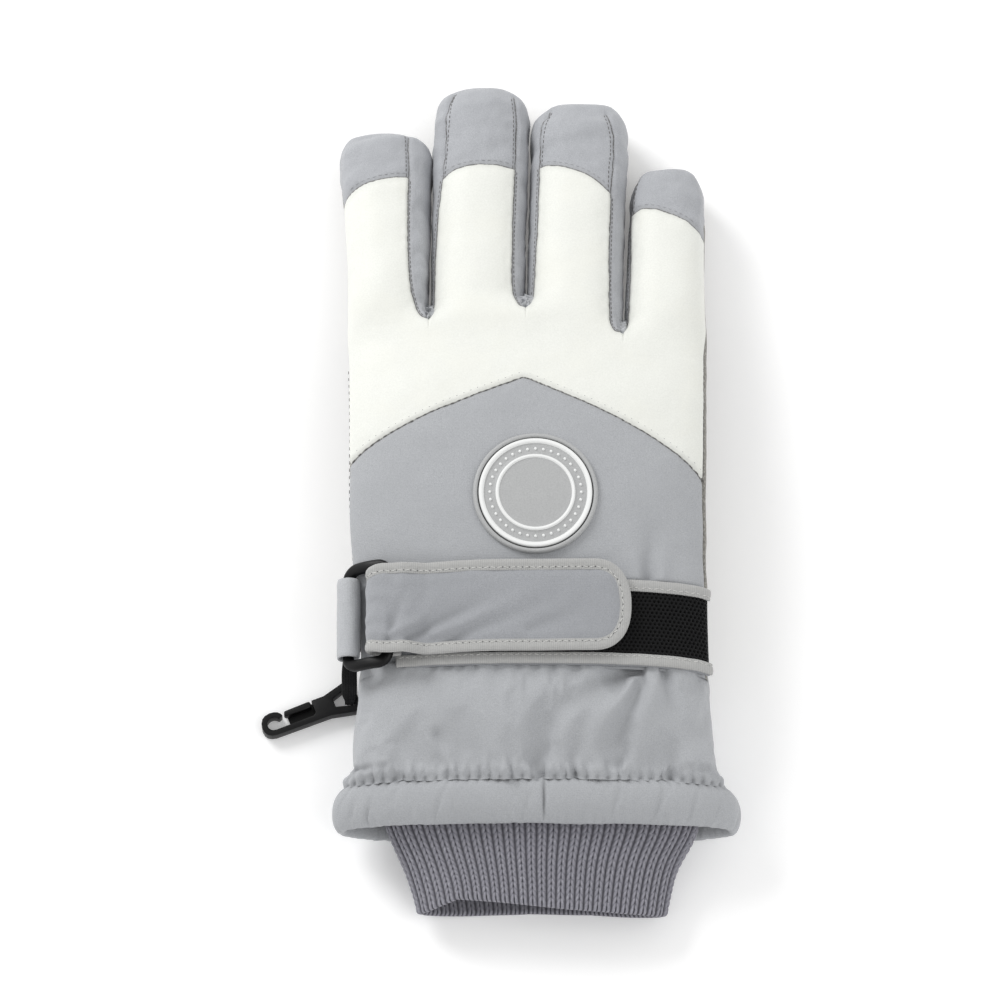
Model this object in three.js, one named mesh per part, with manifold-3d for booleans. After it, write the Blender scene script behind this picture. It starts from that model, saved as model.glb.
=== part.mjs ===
// Ski glove, right hand, lying palm down with its thumb folded under the palm.
// Millimetres, +Z up, fingers point to +Y, thumb side is -X, floor is Z = 0.
import * as THREE from 'three';
import { mergeVertices } from 'three/addons/utils/BufferGeometryUtils.js';
import { LoftGeometry } from 'three/addons/geometries/LoftGeometry.js';
import Module from 'manifold-3d';

const wasm = await Module();
wasm.setup();

// ---------------------------------------------------------------- driving dimensions
const SHELL = 1.0;            // outer shell fabric
const LINER = 3.0;            // insulation bonded to its lining, in the fingers
const WAD = 3.0;              // hand insulation
const FLEECE = 1.0;           // hand lining
const GAP = 0.5;              // clearance between neighbouring pieces
const KNUCKLE_Y = 46;         // line the fingers bend about
const KNUCKLE_Z = 22;
const KNUCKLE_SLANT = 0.62;   // relief each side of the bend, tangent of 32 degrees
const WRIST_Y = -56;          // seam of hand and gauntlet, under the strap
const HEM_Y = -107;           // gathered seam of gauntlet and rolled hem
const HEM_END_Y = -121;
const CUFF_END_Y = -148;
const BADGE_R = 20.5;
const BADGE_AT = [2, -12];

// outer surface of hand and gauntlet: y, left, right, top, bottom
const HAND = [
  [52, -61.0, 60.0, 37.4, 11.0],
  [46, -61.0, 59.9, 38.0, 12.0],
  [20, -60.3, 59.6, 43.0, 15.0],
  [-12, -60.0, 59.4, 44.0, 15.6],
  [-40, -58.2, 59.3, 41.4, 12.4],
  [-56, -57.2, 59.4, 40.2, 10.0],
  [-70, -57.0, 60.0, 39.2, 7.6],
  [-85, -59.4, 62.4, 37.6, 4.4],
  [-100, -62.0, 65.4, 35.4, 1.7],
  [-110, -63.6, 67.4, 33.0, 0.9]
];
const HEM = [
  [-107, -63.6, 67.4, 32.6, 0.6],
  [-111, -64.8, 69.6, 32.0, 0.05],
  [-116, -65.2, 70.3, 30.4, 0.05],
  [-121, -64.8, 70.0, 27.4, 0.3]
];
const KNIT = [
  [-98, -51.0, 57.0, 26.5, 7.2],
  [-110, -50.0, 57.0, 24.6, 6.4],
  [-121, -47.4, 55.6, 21.8, 5.2],
  [-133, -41.6, 49.4, 19.4, 0.9],
  [-141, -38.8, 46.8, 18.2, 0.1],
  [-148, -37.2, 45.4, 17.2, 0.1]
];

// fingers: left edge and right edge at base, middle, tip; tip Y; cap seam Y; top at the base
const FINGERS = {
  index: { l: [-61.0, -62.0, -65.8], r: [-34.4, -34.0, -33.4], tip: 131, cap: 106, top: 35.0, seamL: 222, seamR: 64 },
  middle: { l: [-33.4, -32.9, -32.2], r: [-1.6, -1.2, 0.4], tip: 148, cap: 112.5, top: 38.0, seamL: 136, seamR: 44 },
  ring: { l: [-0.6, 0.0, 1.9], r: [31.2, 32.4, 34.4], tip: 142, cap: 109.5, top: 38.0, seamL: 136, seamR: 44 },
  pinky: { l: [32.3, 33.6, 35.6], r: [59.9, 59.9, 60.4], tip: 117.5, cap: 95, top: 35.0, seamL: 129, seamR: -42 }
};

// ---------------------------------------------------------------- helpers
const DEG = Math.PI / 180;
const clamp = (v, a, b) => Math.min(b, Math.max(a, v));
const smooth = (a, b, v) => { const t = clamp((v - a) / (b - a), 0, 1); return t * t * (3 - 2 * t); };

// Hermite interpolation through rows of [key, ...values]
function table(rows, key) {
  const r = rows[0][0] < rows[rows.length - 1][0] ? rows : [...rows].reverse();
  const n = r.length;
  const k = clamp(key, r[0][0], r[n - 1][0]);
  let i = 0;
  while (i < n - 2 && k > r[i + 1][0]) i++;
  const h = r[i + 1][0] - r[i][0], t = (k - r[i][0]) / h;
  const slope = (j, c) => {
    if (j === 0) return (r[1][c] - r[0][c]) / (r[1][0] - r[0][0]);
    if (j === n - 1) return (r[n - 1][c] - r[n - 2][c]) / (r[n - 1][0] - r[n - 2][0]);
    return (r[j + 1][c] - r[j - 1][c]) / (r[j + 1][0] - r[j - 1][0]);
  };
  const out = [];
  for (let c = 1; c < r[0].length; c++) {
    const a = r[i][c], b = r[i + 1][c], ma = slope(i, c) * h, mb = slope(i + 1, c) * h;
    out.push((2 * t ** 3 - 3 * t ** 2 + 1) * a + (t ** 3 - 2 * t ** 2 + t) * ma + (3 * t ** 2 - 2 * t ** 3) * b + (t ** 3 - t ** 2) * mb);
  }
  return out;
}

const sgnpow = (v, p) => Math.sign(v) * Math.abs(v) ** p;

// point on a flattened oval at angle deg, d inside the outer surface
function oval(l, r, zt, zb, deg, d, y, n = 2.4) {
  const a = (r - l) / 2 - d, b = (zt - zb) / 2 - d;
  return new THREE.Vector3((l + r) / 2 + a * sgnpow(Math.cos(deg * DEG), 2 / n), y,
    (zt + zb) / 2 + b * sgnpow(Math.sin(deg * DEG), 2 / n));
}
const tube = rows => (deg, y, d) => { const [l, r, zt, zb] = table(rows, y); return oval(l, r, zt, zb, deg, d, y); };
const hand = tube(HAND), hem = tube(HEM), knit = tube(KNIT);

// finger outer surface; the tip rounds off over its last 15 mm
function finger(f) {
  return (deg, y, d) => {
    const tip = f.tip - d, u = clamp((y - KNUCKLE_Y) / (f.tip - KNUCKLE_Y), 0, 1);
    const [l, r] = table([[0, f.l[0], f.r[0]], [0.45, f.l[1], f.r[1]], [1, f.l[2], f.r[2]]], u);
    const [zt, zb] = table([[0, f.top, 12], [0.25, 34, 6.4], [0.5, 30.5, 2.4], [0.75, 26.5, 0.3], [1, 23, 0.15]], u);
    const R = 15, t = clamp((y - (tip - R)) / R, 0, 1), k = (1 - t ** 2.5) ** (1 / 2.5);
    const a = ((r - l) / 2 - d) * k, b = ((Math.min(zt, f.top) - zb) / 2 - d) * Math.max(k ** 0.8, 0);
    return new THREE.Vector3((l + r) / 2 + a * sgnpow(Math.cos(deg * DEG), 2 / 2.4), y,
      (Math.min(zt, f.top) + zb) / 2 + b * sgnpow(Math.sin(deg * DEG), 2 / 2.4) - 2.0 * t * t);
  };
}

// thumb outer surface, along its own line under the palm
const THUMB_FROM = [-45, -26], THUMB_DIR = [0.544, 0.839], THUMB_LENGTH = 66;
const thumb = (deg, s, d) => {
  const [w, zt, zb] = table([[-4, 11.5, 13.6, 5.0], [14, 14.0, 13.9, 1.2], [40, 14.6, 13.2, 0.15], [66, 13.6, 11.4, 0.15]], s);
  const R = 14, t = clamp((s - (THUMB_LENGTH - d - R)) / R, 0, 1), k = (1 - t ** 2.5) ** (1 / 2.5);
  const p = oval(-w, w, zt, zb, deg, 0, 0);
  const across = sgnpow(Math.cos(deg * DEG), 2 / 2.4) * (w - d) * k;
  const z = (zt + zb) / 2 + ((zt - zb) / 2 - d) * k ** 0.8 * sgnpow(Math.sin(deg * DEG), 2 / 2.4) - 1.2 * t * t;
  p.set(THUMB_FROM[0] + THUMB_DIR[0] * s + THUMB_DIR[1] * across, THUMB_FROM[1] + THUMB_DIR[1] * s - THUMB_DIR[0] * across, z);
  return p;
};

const value = (v, deg) => (typeof v === 'function' ? v(deg) : v);

function close(geometry) {
  let g = new THREE.BufferGeometry();
  g.setAttribute('position', geometry.attributes.position.clone());
  if (geometry.index) g.setIndex(geometry.index.clone());
  g = mergeVertices(g, 1e-4);
  // drop triangles that merging has collapsed
  const idx = [...g.index.array], keep = [];
  for (let i = 0; i < idx.length; i += 3) {
    const [a, b, c] = idx.slice(i, i + 3);
    if (a !== b && b !== c && c !== a) keep.push(a, b, c);
  }
  g.setIndex(keep);
  const p = g.attributes.position, A = new THREE.Vector3(), B = new THREE.Vector3(), C = new THREE.Vector3();
  let v = 0;
  for (let i = 0; i < keep.length; i += 3) {
    A.fromBufferAttribute(p, keep[i]); B.fromBufferAttribute(p, keep[i + 1]); C.fromBufferAttribute(p, keep[i + 2]);
    v += A.dot(B.cross(C));
  }
  if (v < 0) for (let i = 0; i < keep.length; i += 3) [keep[i + 1], keep[i + 2]] = [keep[i + 2], keep[i + 1]];
  g.setIndex(keep);
  g.computeVertexNormals();
  return g;
}

// capped loft whose rings are wound the way LoftGeometry's caps expect
function loft(sections) {
  const centre = r => { const c = new THREE.Vector3(); r.forEach(p => c.add(p)); return c.divideScalar(r.length); };
  const r = sections[0], n = new THREE.Vector3();
  for (let i = 0; i < r.length; i++) {
    const p = r[i], q = r[(i + 1) % r.length];
    n.x += (p.y - q.y) * (p.z + q.z); n.y += (p.z - q.z) * (p.x + q.x); n.z += (p.x - q.x) * (p.y + q.y);
  }
  if (n.dot(centre(sections[1]).sub(centre(r))) < 0) sections = sections.map(s => [...s].reverse());
  return close(new LoftGeometry(sections, { closed: true, capStart: true, capEnd: true }));
}

// closed wall between two offsets of a surface, from angle to angle
function patch(surf, from, to, steps, yA, yB, rows, dOut, dIn) {
  const sections = [];
  for (let i = 0; i <= steps; i++) {
    const deg = from + (to - from) * i / steps, a = value(yA, deg), b = value(yB, deg), ring = [];
    const o = value(dOut, deg), n = value(dIn, deg);
    for (let j = 0; j <= rows; j++) ring.push(surf(deg, a + (b - a) * j / rows, o));
    for (let j = rows; j >= 0; j--) ring.push(surf(deg, a + (b - a) * j / rows, n));
    sections.push(ring);
  }
  const full = Math.abs(to - from) > 359.9;
  if (!full) return loft(sections);
  sections[sections.length - 1] = sections[0].map(p => p.clone());
  return close(new LoftGeometry(sections, { closed: true }));
}
const sleeve = (surf, steps, yA, yB, rows, dOut, dIn) => patch(surf, 0, 360, steps, yA, yB, rows, dOut, dIn);

// wall closed over a rounded tip
function cup(surf, steps, yA, tipOut, rows, dOut, dIn) {
  const ring = (f, y1, d) => {
    const pts = [];
    for (let i = 0; i < steps; i++) { const deg = 360 * i / steps, a = value(yA, deg); pts.push(surf(deg, a + (y1 - a) * f, d)); }
    return pts;
  };
  const fs = [];
  for (let i = 0; i <= rows; i++) fs.push(i / rows);
  const bend = f => 1 - (1 - f) ** 1.5;
  const sections = [];
  const tipIn = tipOut - (dIn - dOut);
  const pole = r => { const c = new THREE.Vector3(); r.forEach(p => c.add(p)); c.divideScalar(r.length); return r.map(() => c.clone()); };
  for (let i = rows; i >= 0; i--) sections.push(ring(bend(fs[i]) * (1 - 0.0008), tipIn, dIn));
  for (let i = 0; i <= rows; i++) sections.push(ring(bend(fs[i]) * (1 - 0.0008), tipOut, dOut));
  sections.unshift(pole(sections[0]));
  sections.push(pole(sections[sections.length - 1]));
  return close(new LoftGeometry(sections, { closed: true }));
}

function toManifold(g) {
  return new wasm.Manifold(new wasm.Mesh({ numProp: 3, vertProperties: new Float32Array(g.attributes.position.array), triVerts: new Uint32Array(g.index.array) }));
}
function fromManifold(m) {
  const mesh = m.getMesh(), g = new THREE.BufferGeometry();
  g.setAttribute('position', new THREE.BufferAttribute(new Float32Array(mesh.vertProperties), 3));
  g.setIndex(new THREE.BufferAttribute(new Uint32Array(mesh.triVerts), 1));
  return close(g);
}
const cut = (a, b) => fromManifold(toManifold(a).subtract(toManifold(b)));
const join = (a, b) => fromManifold(toManifold(a).add(toManifold(b)));

const group = new THREE.Group();
function add(name, geometry, colour, roughness = 0.9, metalness = 0) {
  const m = new THREE.Mesh(geometry, new THREE.MeshStandardMaterial({ color: new THREE.Color(colour), roughness, metalness }));
  m.name = name;
  group.add(m);
  return m;
}

const WHITE = '#f7f8f3', GREY = '#b6b9bc', CAP = '#bcbec4', PALM = '#a9a8a4', WADDING = '#dfe0dc', FLEECE_C = '#3a3b40', KNIT_C = '#76767d', BLACK = '#111113', BIND = '#c2c2bf';

// ---------------------------------------------------------------- hand
const handEnd = deg => { const z = hand(deg, KNUCKLE_Y, 0).z; return KNUCKLE_Y - 0.35 - Math.max(0, KNUCKLE_Z - z) * KNUCKLE_SLANT; };
const chevronY = deg => {
  const x = hand(deg, 20, 0).x, t = Math.abs(x + 1.7) / 57;
  return x < -1.7 ? 30.8 - 22.5 * t - 4.5 * t ** 4 : 30.8 - 26 * t - 5.5 * t ** 4;
};
const SIDE = 8;   // side seams of back and palm, degrees above the widest line
add('back_panel_lower', patch(hand, SIDE, 180 - SIDE, 18, WRIST_Y + GAP / 2, deg => chevronY(deg) - GAP / 2, 6, 0, SHELL), GREY);
add('back_panel_upper', patch(hand, SIDE, 180 - SIDE, 18, deg => chevronY(deg) + GAP / 2, handEnd, 3, 0, SHELL), WHITE, 0.6);

const hole = new THREE.Shape();
hole.absellipse(0, 0, 8.5, 9.5, 0, Math.PI * 2);
const holeCutter = new THREE.ExtrudeGeometry(hole, { depth: 34, bevelEnabled: false, curveSegments: 6 });
holeCutter.rotateZ(-33 * DEG);
holeCutter.translate(-41.5, -20.5, -5);
const cutter = close(holeCutter);
add('palm_panel', cut(patch(hand, 180 - SIDE + 4.0, 360 + SIDE - 4.0, 16, WRIST_Y + GAP / 2, handEnd, 6, 0, SHELL), cutter), PALM, 0.75);
add('hand_insulation', cut(sleeve(hand, 24, WRIST_Y + GAP, handEnd, 5, SHELL + GAP, SHELL + GAP + WAD), cutter), WADDING, 1);
add('hand_lining', cut(sleeve(hand, 24, WRIST_Y + GAP, handEnd, 5, SHELL + WAD + 2 * GAP, SHELL + WAD + FLEECE + 2 * GAP), cutter), FLEECE_C, 1);

// ---------------------------------------------------------------- gauntlet, hem and knitted cuff
add('gauntlet_back', patch(hand, SIDE, 180 - SIDE, 18, HEM_Y + GAP / 2, WRIST_Y - GAP / 2, 5, 0, SHELL), GREY);
add('gauntlet_palm', patch(hand, 180 - SIDE + 4.0, 360 + SIDE - 4.0, 16, HEM_Y + GAP / 2, WRIST_Y - GAP / 2, 5, 0, SHELL), GREY);
add('gauntlet_liner', sleeve(hand, 24, HEM_Y + 1, WRIST_Y - GAP / 2, 5, SHELL + GAP, SHELL + GAP + WAD), WADDING, 1);
add('rolled_hem', sleeve(hem, 28, HEM_END_Y, HEM_Y - GAP / 2, 4, 0, 4.2), GREY);
const flatUnder = (deg, y, d) => knit(deg + 7.5, y, d);   // one flat facet rests on the floor
add('knit_cuff', sleeve(flatUnder, 24, CUFF_END_Y, -98, 7, 0, 2.0), KNIT_C, 1);

// ---------------------------------------------------------------- wrist strap
const BAND_TOP = -41.5, BAND_BOTTOM = -71, BAND_FROM = 14, BAND_TO = 137, PILE_TO = 126;
add('strap_band', patch(hand, BAND_FROM, BAND_TO, 14, BAND_BOTTOM, BAND_TOP, 3, -1.35, -0.35), GREY);
add('strap_pile_face', patch(hand, BAND_FROM + 1, PILE_TO, 14, BAND_BOTTOM + 4.3, BAND_TOP - 4.3, 3, -2.5, -1.7), BLACK, 1);
add('band_binding_upper', patch(hand, BAND_FROM + 1, PILE_TO, 14, BAND_TOP - 4, BAND_TOP, 1, -2.9, -1.7), BIND);
add('band_binding_lower', patch(hand, BAND_FROM + 1, PILE_TO, 14, BAND_BOTTOM, BAND_BOTTOM + 4, 1, -2.9, -1.7), BIND);

// point above the back of the glove at x, y, raised by d
function above(x, y, d) {
  const [l, r, zt, zb] = table(HAND, y), u = Math.min(1, Math.abs(x - (l + r) / 2) / ((r - l) / 2 + d));
  return new THREE.Vector3(x, y, (zt + zb) / 2 + ((zt - zb) / 2 + d) * (1 - u ** 2.4) ** (1 / 2.4));
}

// flap that folds back over the band; its free end is rounded, its root clears the ring's inner bar
const FLAP_TOP = -36, FLAP_BOTTOM = -67.5, FLAP_END_X = 34, FLAP_ROOT_X = -46.4, FLAP_R = 11;
const lift = (x, y) => (2.9 + 3.2 * (FLAP_TOP - y) / 31) * smooth(-33, -43.5, x);
const onFlap = (x, y, d) => above(x, y, d + lift(x, y));
add('flap_panel', (() => {
  const sections = [], N = 14, inset = 4.3, r = FLAP_R - inset, x1 = FLAP_END_X - inset - r;
  const xs = [];
  for (let i = 0; i <= N; i++) xs.push(FLAP_ROOT_X + (x1 - FLAP_ROOT_X) * i / N);
  for (let i = 1; i <= 4; i++) xs.push(x1 + r * Math.sin(i * 21 * DEG));
  for (const x of xs) {
    const t = Math.max(0, x - x1), e = inset + r - Math.sqrt(r * r - t * t), a = FLAP_BOTTOM + e, b = FLAP_TOP - e, ring = [];
    for (let j = 0; j <= 3; j++) ring.push(onFlap(x, a + (b - a) * j / 3, 5.9));
    for (let j = 3; j >= 0; j--) ring.push(onFlap(x, a + (b - a) * j / 3, 4.4));
    sections.push(ring);
  }
  return loft(sections);
})(), GREY);
add('flap_binding', (() => {
  // path round the flap: along the top edge, round the free end, back along the bottom edge
  const path = [], r = FLAP_R, x1 = FLAP_END_X - r, N = 14;
  for (let i = 0; i <= N; i++) path.push([FLAP_ROOT_X + (x1 - FLAP_ROOT_X) * i / N, FLAP_TOP, 0, -1]);
  for (let i = 1; i <= 4; i++) { const a = (90 - 22.5 * i) * DEG; path.push([x1 + r * Math.cos(a), FLAP_TOP - r + r * Math.sin(a), -Math.cos(a), -Math.sin(a)]); }
  for (let i = 0; i <= 4; i++) { const a = -22.5 * i * DEG; path.push([x1 + r * Math.cos(a), FLAP_BOTTOM + r + r * Math.sin(a), -Math.cos(a), -Math.sin(a)]); }
  for (let i = 1; i <= N; i++) path.push([x1 + (FLAP_ROOT_X - x1) * i / N, FLAP_BOTTOM, 0, 1]);
  return loft(path.map(([x, y, nx, ny]) => {
    const xi = x + nx * 3.9, yi = y + ny * 3.9;
    return [onFlap(x, y, 6.2), onFlap(xi, yi, 6.2), onFlap(xi, yi, 4.1), onFlap(x, y, 4.1)];
  }));
})(), BIND);
add('flap_hook_patch', (() => {
  const sections = [];
  for (let i = 0; i <= 4; i++) {
    const x = 9 + 19 * i / 4;
    sections.push([above(x, -61.5, 3.8), above(x, -46.8, 3.8), above(x, -46.8, 3.0), above(x, -61.5, 3.0)]);
  }
  return loft(sections);
})(), BLACK, 1);

// rectangular ring: outer bar in the tab, inner bar under the flap
const RING_OUT = [-60.4, 33.4], RING_IN = [-47.2, 41.0], RING_Y = [-70.8, -35.2], RING_T = 2.6, BAR = 3.2;
{
  const dx = RING_IN[0] - RING_OUT[0], dz = RING_IN[1] - RING_OUT[1], reach = Math.hypot(dx, dz), tilt = Math.atan2(dz, dx);
  const L = RING_Y[1] - RING_Y[0];
  const rect = (s, x0, y0, x1, y1, r) => {
    s.moveTo(x0 + r, y0); s.lineTo(x1 - r, y0); s.quadraticCurveTo(x1, y0, x1, y0 + r); s.lineTo(x1, y1 - r); s.quadraticCurveTo(x1, y1, x1 - r, y1);
    s.lineTo(x0 + r, y1); s.quadraticCurveTo(x0, y1, x0, y1 - r); s.lineTo(x0, y0 + r); s.quadraticCurveTo(x0, y0, x0 + r, y0);
    return s;
  };
  const s = rect(new THREE.Shape(), -BAR / 2, 0, reach + BAR / 2, L, 3.4);
  s.holes.push(rect(new THREE.Path(), BAR / 2, 3.3, reach - BAR / 2, L - 3.3, 1.2));
  const g = new THREE.ExtrudeGeometry(s, { depth: RING_T, bevelEnabled: false, curveSegments: 3 });
  g.translate(0, 0, -RING_T / 2);
  g.rotateY(-tilt);
  g.translate(RING_OUT[0], RING_Y[0], RING_OUT[1]);
  add('strap_ring', close(g), BLACK, 0.35);
}
// fabric tab that wraps the outer bar, its tail sewn down the thumb side
add('ring_tab', (() => {
  const s = new THREE.Shape(), R = 3.9;
  s.absarc(0, 0, R, -50 * DEG, 235 * DEG, false);
  s.lineTo(-0.2, -10.4);
  s.lineTo(0.9, -10.4);
  s.closePath();
  const h = new THREE.Path();
  h.absarc(0, 0, 2.75, 0, Math.PI * 2, true);
  s.holes.push(h);
  const g = new THREE.ExtrudeGeometry(s, { depth: 28.0, bevelEnabled: false, curveSegments: 14 });
  g.rotateX(90 * DEG);
  g.translate(RING_OUT[0], -39.0, RING_OUT[1]);
  return close(g);
})(), GREY);

// ---------------------------------------------------------------- moulded badge
{
  const R = BADGE_R, prof = [[0, 0], [R, 0], [R, 1.5], [R - 0.8, 2.3], [R - 1.9, 2.3], [R - 2.2, 1.5], [R - 3.3, 1.5], [R - 3.6, 2.3], [R - 4.7, 2.3], [R - 5.0, 1.6],
    [12.2, 1.6], [11.9, 2.2], [11.0, 2.2], [10.7, 1.8], [0, 1.9]];
  const g = new THREE.LatheGeometry(prof.map(p => new THREE.Vector2(p[0], p[1])), 24);
  g.rotateX(90 * DEG);
  add('badge', close(g), '#c9cbcd', 0.55).position.set(BADGE_AT[0], BADGE_AT[1], 44.45);
}

// ---------------------------------------------------------------- fingers
for (const [name, f] of Object.entries(FINGERS)) {
  const surf = finger(f);
  const base = d => deg => { const z = surf(deg, KNUCKLE_Y + 3, d).z; return KNUCKLE_Y + 0.35 + Math.max(0, KNUCKLE_Z - z) * KNUCKLE_SLANT; };
  const start = base(0), end = f.cap - GAP;
  const e = 1.1;
  const bottomL = 226, bottomR = 314 - 360;
  add(`${name}_back`, patch(surf, f.seamR + e, f.seamL - e, name === 'index' || name === 'pinky' ? 9 : 6, start, end, 4, 0, SHELL), WHITE, 0.6);
  if (name !== 'index') add(`${name}_gusset_left`, patch(surf, f.seamL + e, bottomL - 2 * e, 5, start, end, 4, 0, SHELL), GREY);
  if (name !== 'pinky') add(`${name}_gusset_right`, patch(surf, bottomR + 2 * e, f.seamR - e, 5, start, end, 4, 0, SHELL), GREY);
  add(`${name}_palm`, patch(surf, (name === 'index' ? f.seamL : bottomL) + 2 * e, (name === 'pinky' ? f.seamR : bottomR) + 360 - 2 * e, 5, start, end, 4, 0, SHELL), PALM, 0.75);
  add(`${name}_cap`, cup(surf, 16, f.cap, f.tip, 5, 0, SHELL), CAP);
  add(`${name}_liner`, cup(surf, 14, base(SHELL + GAP), f.tip - SHELL - GAP, 6, SHELL + GAP, SHELL + GAP + LINER), WADDING, 1);
}

// ---------------------------------------------------------------- thumb
{
  const base = deg => 5 + 8 * Math.sin(deg * DEG), capS = 44;
  const T = 1.8;
  add('thumb_back', patch(thumb, 0.9, 179.1, 8, base, capS - GAP, 4, 0, SHELL), GREY);
  add('thumb_palm', patch(thumb, 180.9, 359.1, 8, base, capS - GAP, 4, 0, SHELL), PALM, 0.75);
  add('thumb_cap', cup(thumb, 16, capS, THUMB_LENGTH, 5, 0, SHELL), CAP);
  add('thumb_liner', cup(thumb, 14, base, THUMB_LENGTH - SHELL - GAP, 6, SHELL + GAP, SHELL + GAP + T), WADDING, 1);
}

// ---------------------------------------------------------------- clip on its webbing loop
const CLIP_AT = [-60.4, -70.2], CLIP_TURN = 201;    // direction the hook points, degrees from +X
add('clip_webbing', (() => {
  // flat webbing that comes from the side seam, lies over the eye's bar and folds back under it
  const path = [[-58.8, -57.6, 18.4], [-60.0, -60.2, 12.4], [-60.5, -63.2, 8.2], [-60.5, -66.4, 6.4], [-60.5, -69.2, 5.9]];
  const curve = new THREE.CatmullRomCurve3(path.map(p => new THREE.Vector3(...p)));
  const sections = curve.getPoints(10).map((p, i) => {
    const t = curve.getTangent(i / 10), n = new THREE.Vector3(1, 0, 0).cross(t).normalize();
    const w = new THREE.Vector3(2.6, 0, 0), h = n.multiplyScalar(0.6);
    return [p.clone().add(w).add(h), p.clone().sub(w).add(h), p.clone().sub(w).sub(h), p.clone().add(w).sub(h)];
  });
  return loft(sections);
})(), BLACK, 0.9);
{
  // hook body and triangular eye in one moulding, drawn flat along +X from the eye's bar
  const T = 4.2, s = new THREE.Shape();
  s.moveTo(-2.6, -5.4); s.lineTo(-2.6, 5.2); s.lineTo(-1.0, 5.8);
  s.lineTo(8.0, 3.9); s.lineTo(27.5, 3.9);
  s.quadraticCurveTo(31.4, 3.6, 31.4, 0.2);
  s.quadraticCurveTo(31.2, -4.1, 27.4, -4.2);
  s.quadraticCurveTo(24.0, -4.2, 23.4, -1.9);
  s.lineTo(24.9, -1.2); s.quadraticCurveTo(25.6, -2.4, 27.0, -2.4);
  s.quadraticCurveTo(29.4, -2.2, 29.4, 0.0);
  s.quadraticCurveTo(29.2, 1.9, 27.2, 2.0);
  s.lineTo(13.6, 1.9); s.lineTo(12.6, 1.0); s.lineTo(12.6, -3.4); s.lineTo(8.2, -3.4);
  s.lineTo(-1.0, -6.0);
  s.closePath();
  const h = new THREE.Path();
  h.moveTo(-0.7, -3.6); h.lineTo(5.6, -1.4); h.lineTo(5.6, 1.6); h.lineTo(-0.7, 3.3); h.closePath();
  s.holes.push(h);
  const place = g => { g.rotateZ(CLIP_TURN * DEG); g.translate(CLIP_AT[0], CLIP_AT[1], 0.25); return close(g); };
  add('clip_body', place(new THREE.ExtrudeGeometry(s, { depth: T, bevelEnabled: false, curveSegments: 4 })), BLACK, 0.35);
  const gate = new THREE.Shape();
  gate.moveTo(13.1, -1.7); gate.lineTo(13.1, -3.2); gate.lineTo(13.7, -3.6); gate.lineTo(22.4, -3.3); gate.lineTo(22.9, -2.0); gate.lineTo(22.4, -1.4); gate.lineTo(13.7, -1.3); gate.closePath();
  add('clip_gate', place(new THREE.ExtrudeGeometry(gate, { depth: T - 1.0, bevelEnabled: false, curveSegments: 2 }).translate(0, 0, 0.5)), BLACK, 0.35);
}

// the origin is under the middle of the glove and its clip
const CENTRE_X = -9.85;
for (const m of group.children) m.position.x -= CENTRE_X;
export default group;
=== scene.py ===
import bpy, bmesh, math
import numpy as np
from mathutils.bvhtree import BVHTree
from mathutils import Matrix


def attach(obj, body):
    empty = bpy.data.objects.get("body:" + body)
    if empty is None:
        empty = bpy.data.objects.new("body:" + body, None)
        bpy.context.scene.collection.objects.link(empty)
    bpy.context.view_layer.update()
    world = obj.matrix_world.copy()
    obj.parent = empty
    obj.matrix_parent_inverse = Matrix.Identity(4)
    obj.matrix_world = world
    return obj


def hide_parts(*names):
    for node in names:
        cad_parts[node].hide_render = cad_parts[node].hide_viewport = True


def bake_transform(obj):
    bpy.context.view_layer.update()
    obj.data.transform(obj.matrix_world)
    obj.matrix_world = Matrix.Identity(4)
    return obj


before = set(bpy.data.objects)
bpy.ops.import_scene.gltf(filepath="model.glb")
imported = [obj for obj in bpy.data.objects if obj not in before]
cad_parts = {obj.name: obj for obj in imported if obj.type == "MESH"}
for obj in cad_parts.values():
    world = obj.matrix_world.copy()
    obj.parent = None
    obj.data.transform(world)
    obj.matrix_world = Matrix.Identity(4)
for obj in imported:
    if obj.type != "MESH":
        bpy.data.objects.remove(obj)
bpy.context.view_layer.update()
RES = 1.0          # coarser soft meshes while trying things

# ------------------------------------------------------------------ frame: glove-axis millimetres to metres
def W(P):
    P = np.array(P, float)
    P[..., 0] += 9.85
    return P * 0.001

# ------------------------------------------------------------------ noise and curves
_rs = np.random.RandomState(11)
_perm = _rs.permutation(256)
_grad = _rs.normal(size=(256, 3))
_grad /= np.linalg.norm(_grad, axis=1)[:, None]

def noise(P, scale=1.0, seed=0.0):
    P = np.asarray(P, float) * scale + seed
    i = np.floor(P).astype(int)
    f = P - i
    u = f * f * f * (f * (f * 6 - 15) + 10)
    out = 0
    for dx in (0, 1):
        for dy in (0, 1):
            for dz in (0, 1):
                h = _perm[(_perm[(_perm[(i[..., 0] + dx) & 255] + i[..., 1] + dy) & 255] + i[..., 2] + dz) & 255]
                g = (_grad[h] * (f - np.array([dx, dy, dz]))).sum(-1)
                w = (u[..., 0] if dx else 1 - u[..., 0]) * (u[..., 1] if dy else 1 - u[..., 1]) * (u[..., 2] if dz else 1 - u[..., 2])
                out = out + g * w
    return out * 1.6

def fbm(P, scale, seed=0.0, octaves=3):
    return sum(noise(P, scale * 2 ** k, seed + 17.3 * k) * 0.5 ** k for k in range(octaves))

def ridged(P, scale, seed=0.0):
    return 1 - np.abs(noise(P, scale, seed)) * 2.2

def sm(a, b, x):
    t = np.clip((np.asarray(x, float) - a) / (b - a), 0, 1)
    return t * t * (3 - 2 * t)

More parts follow.
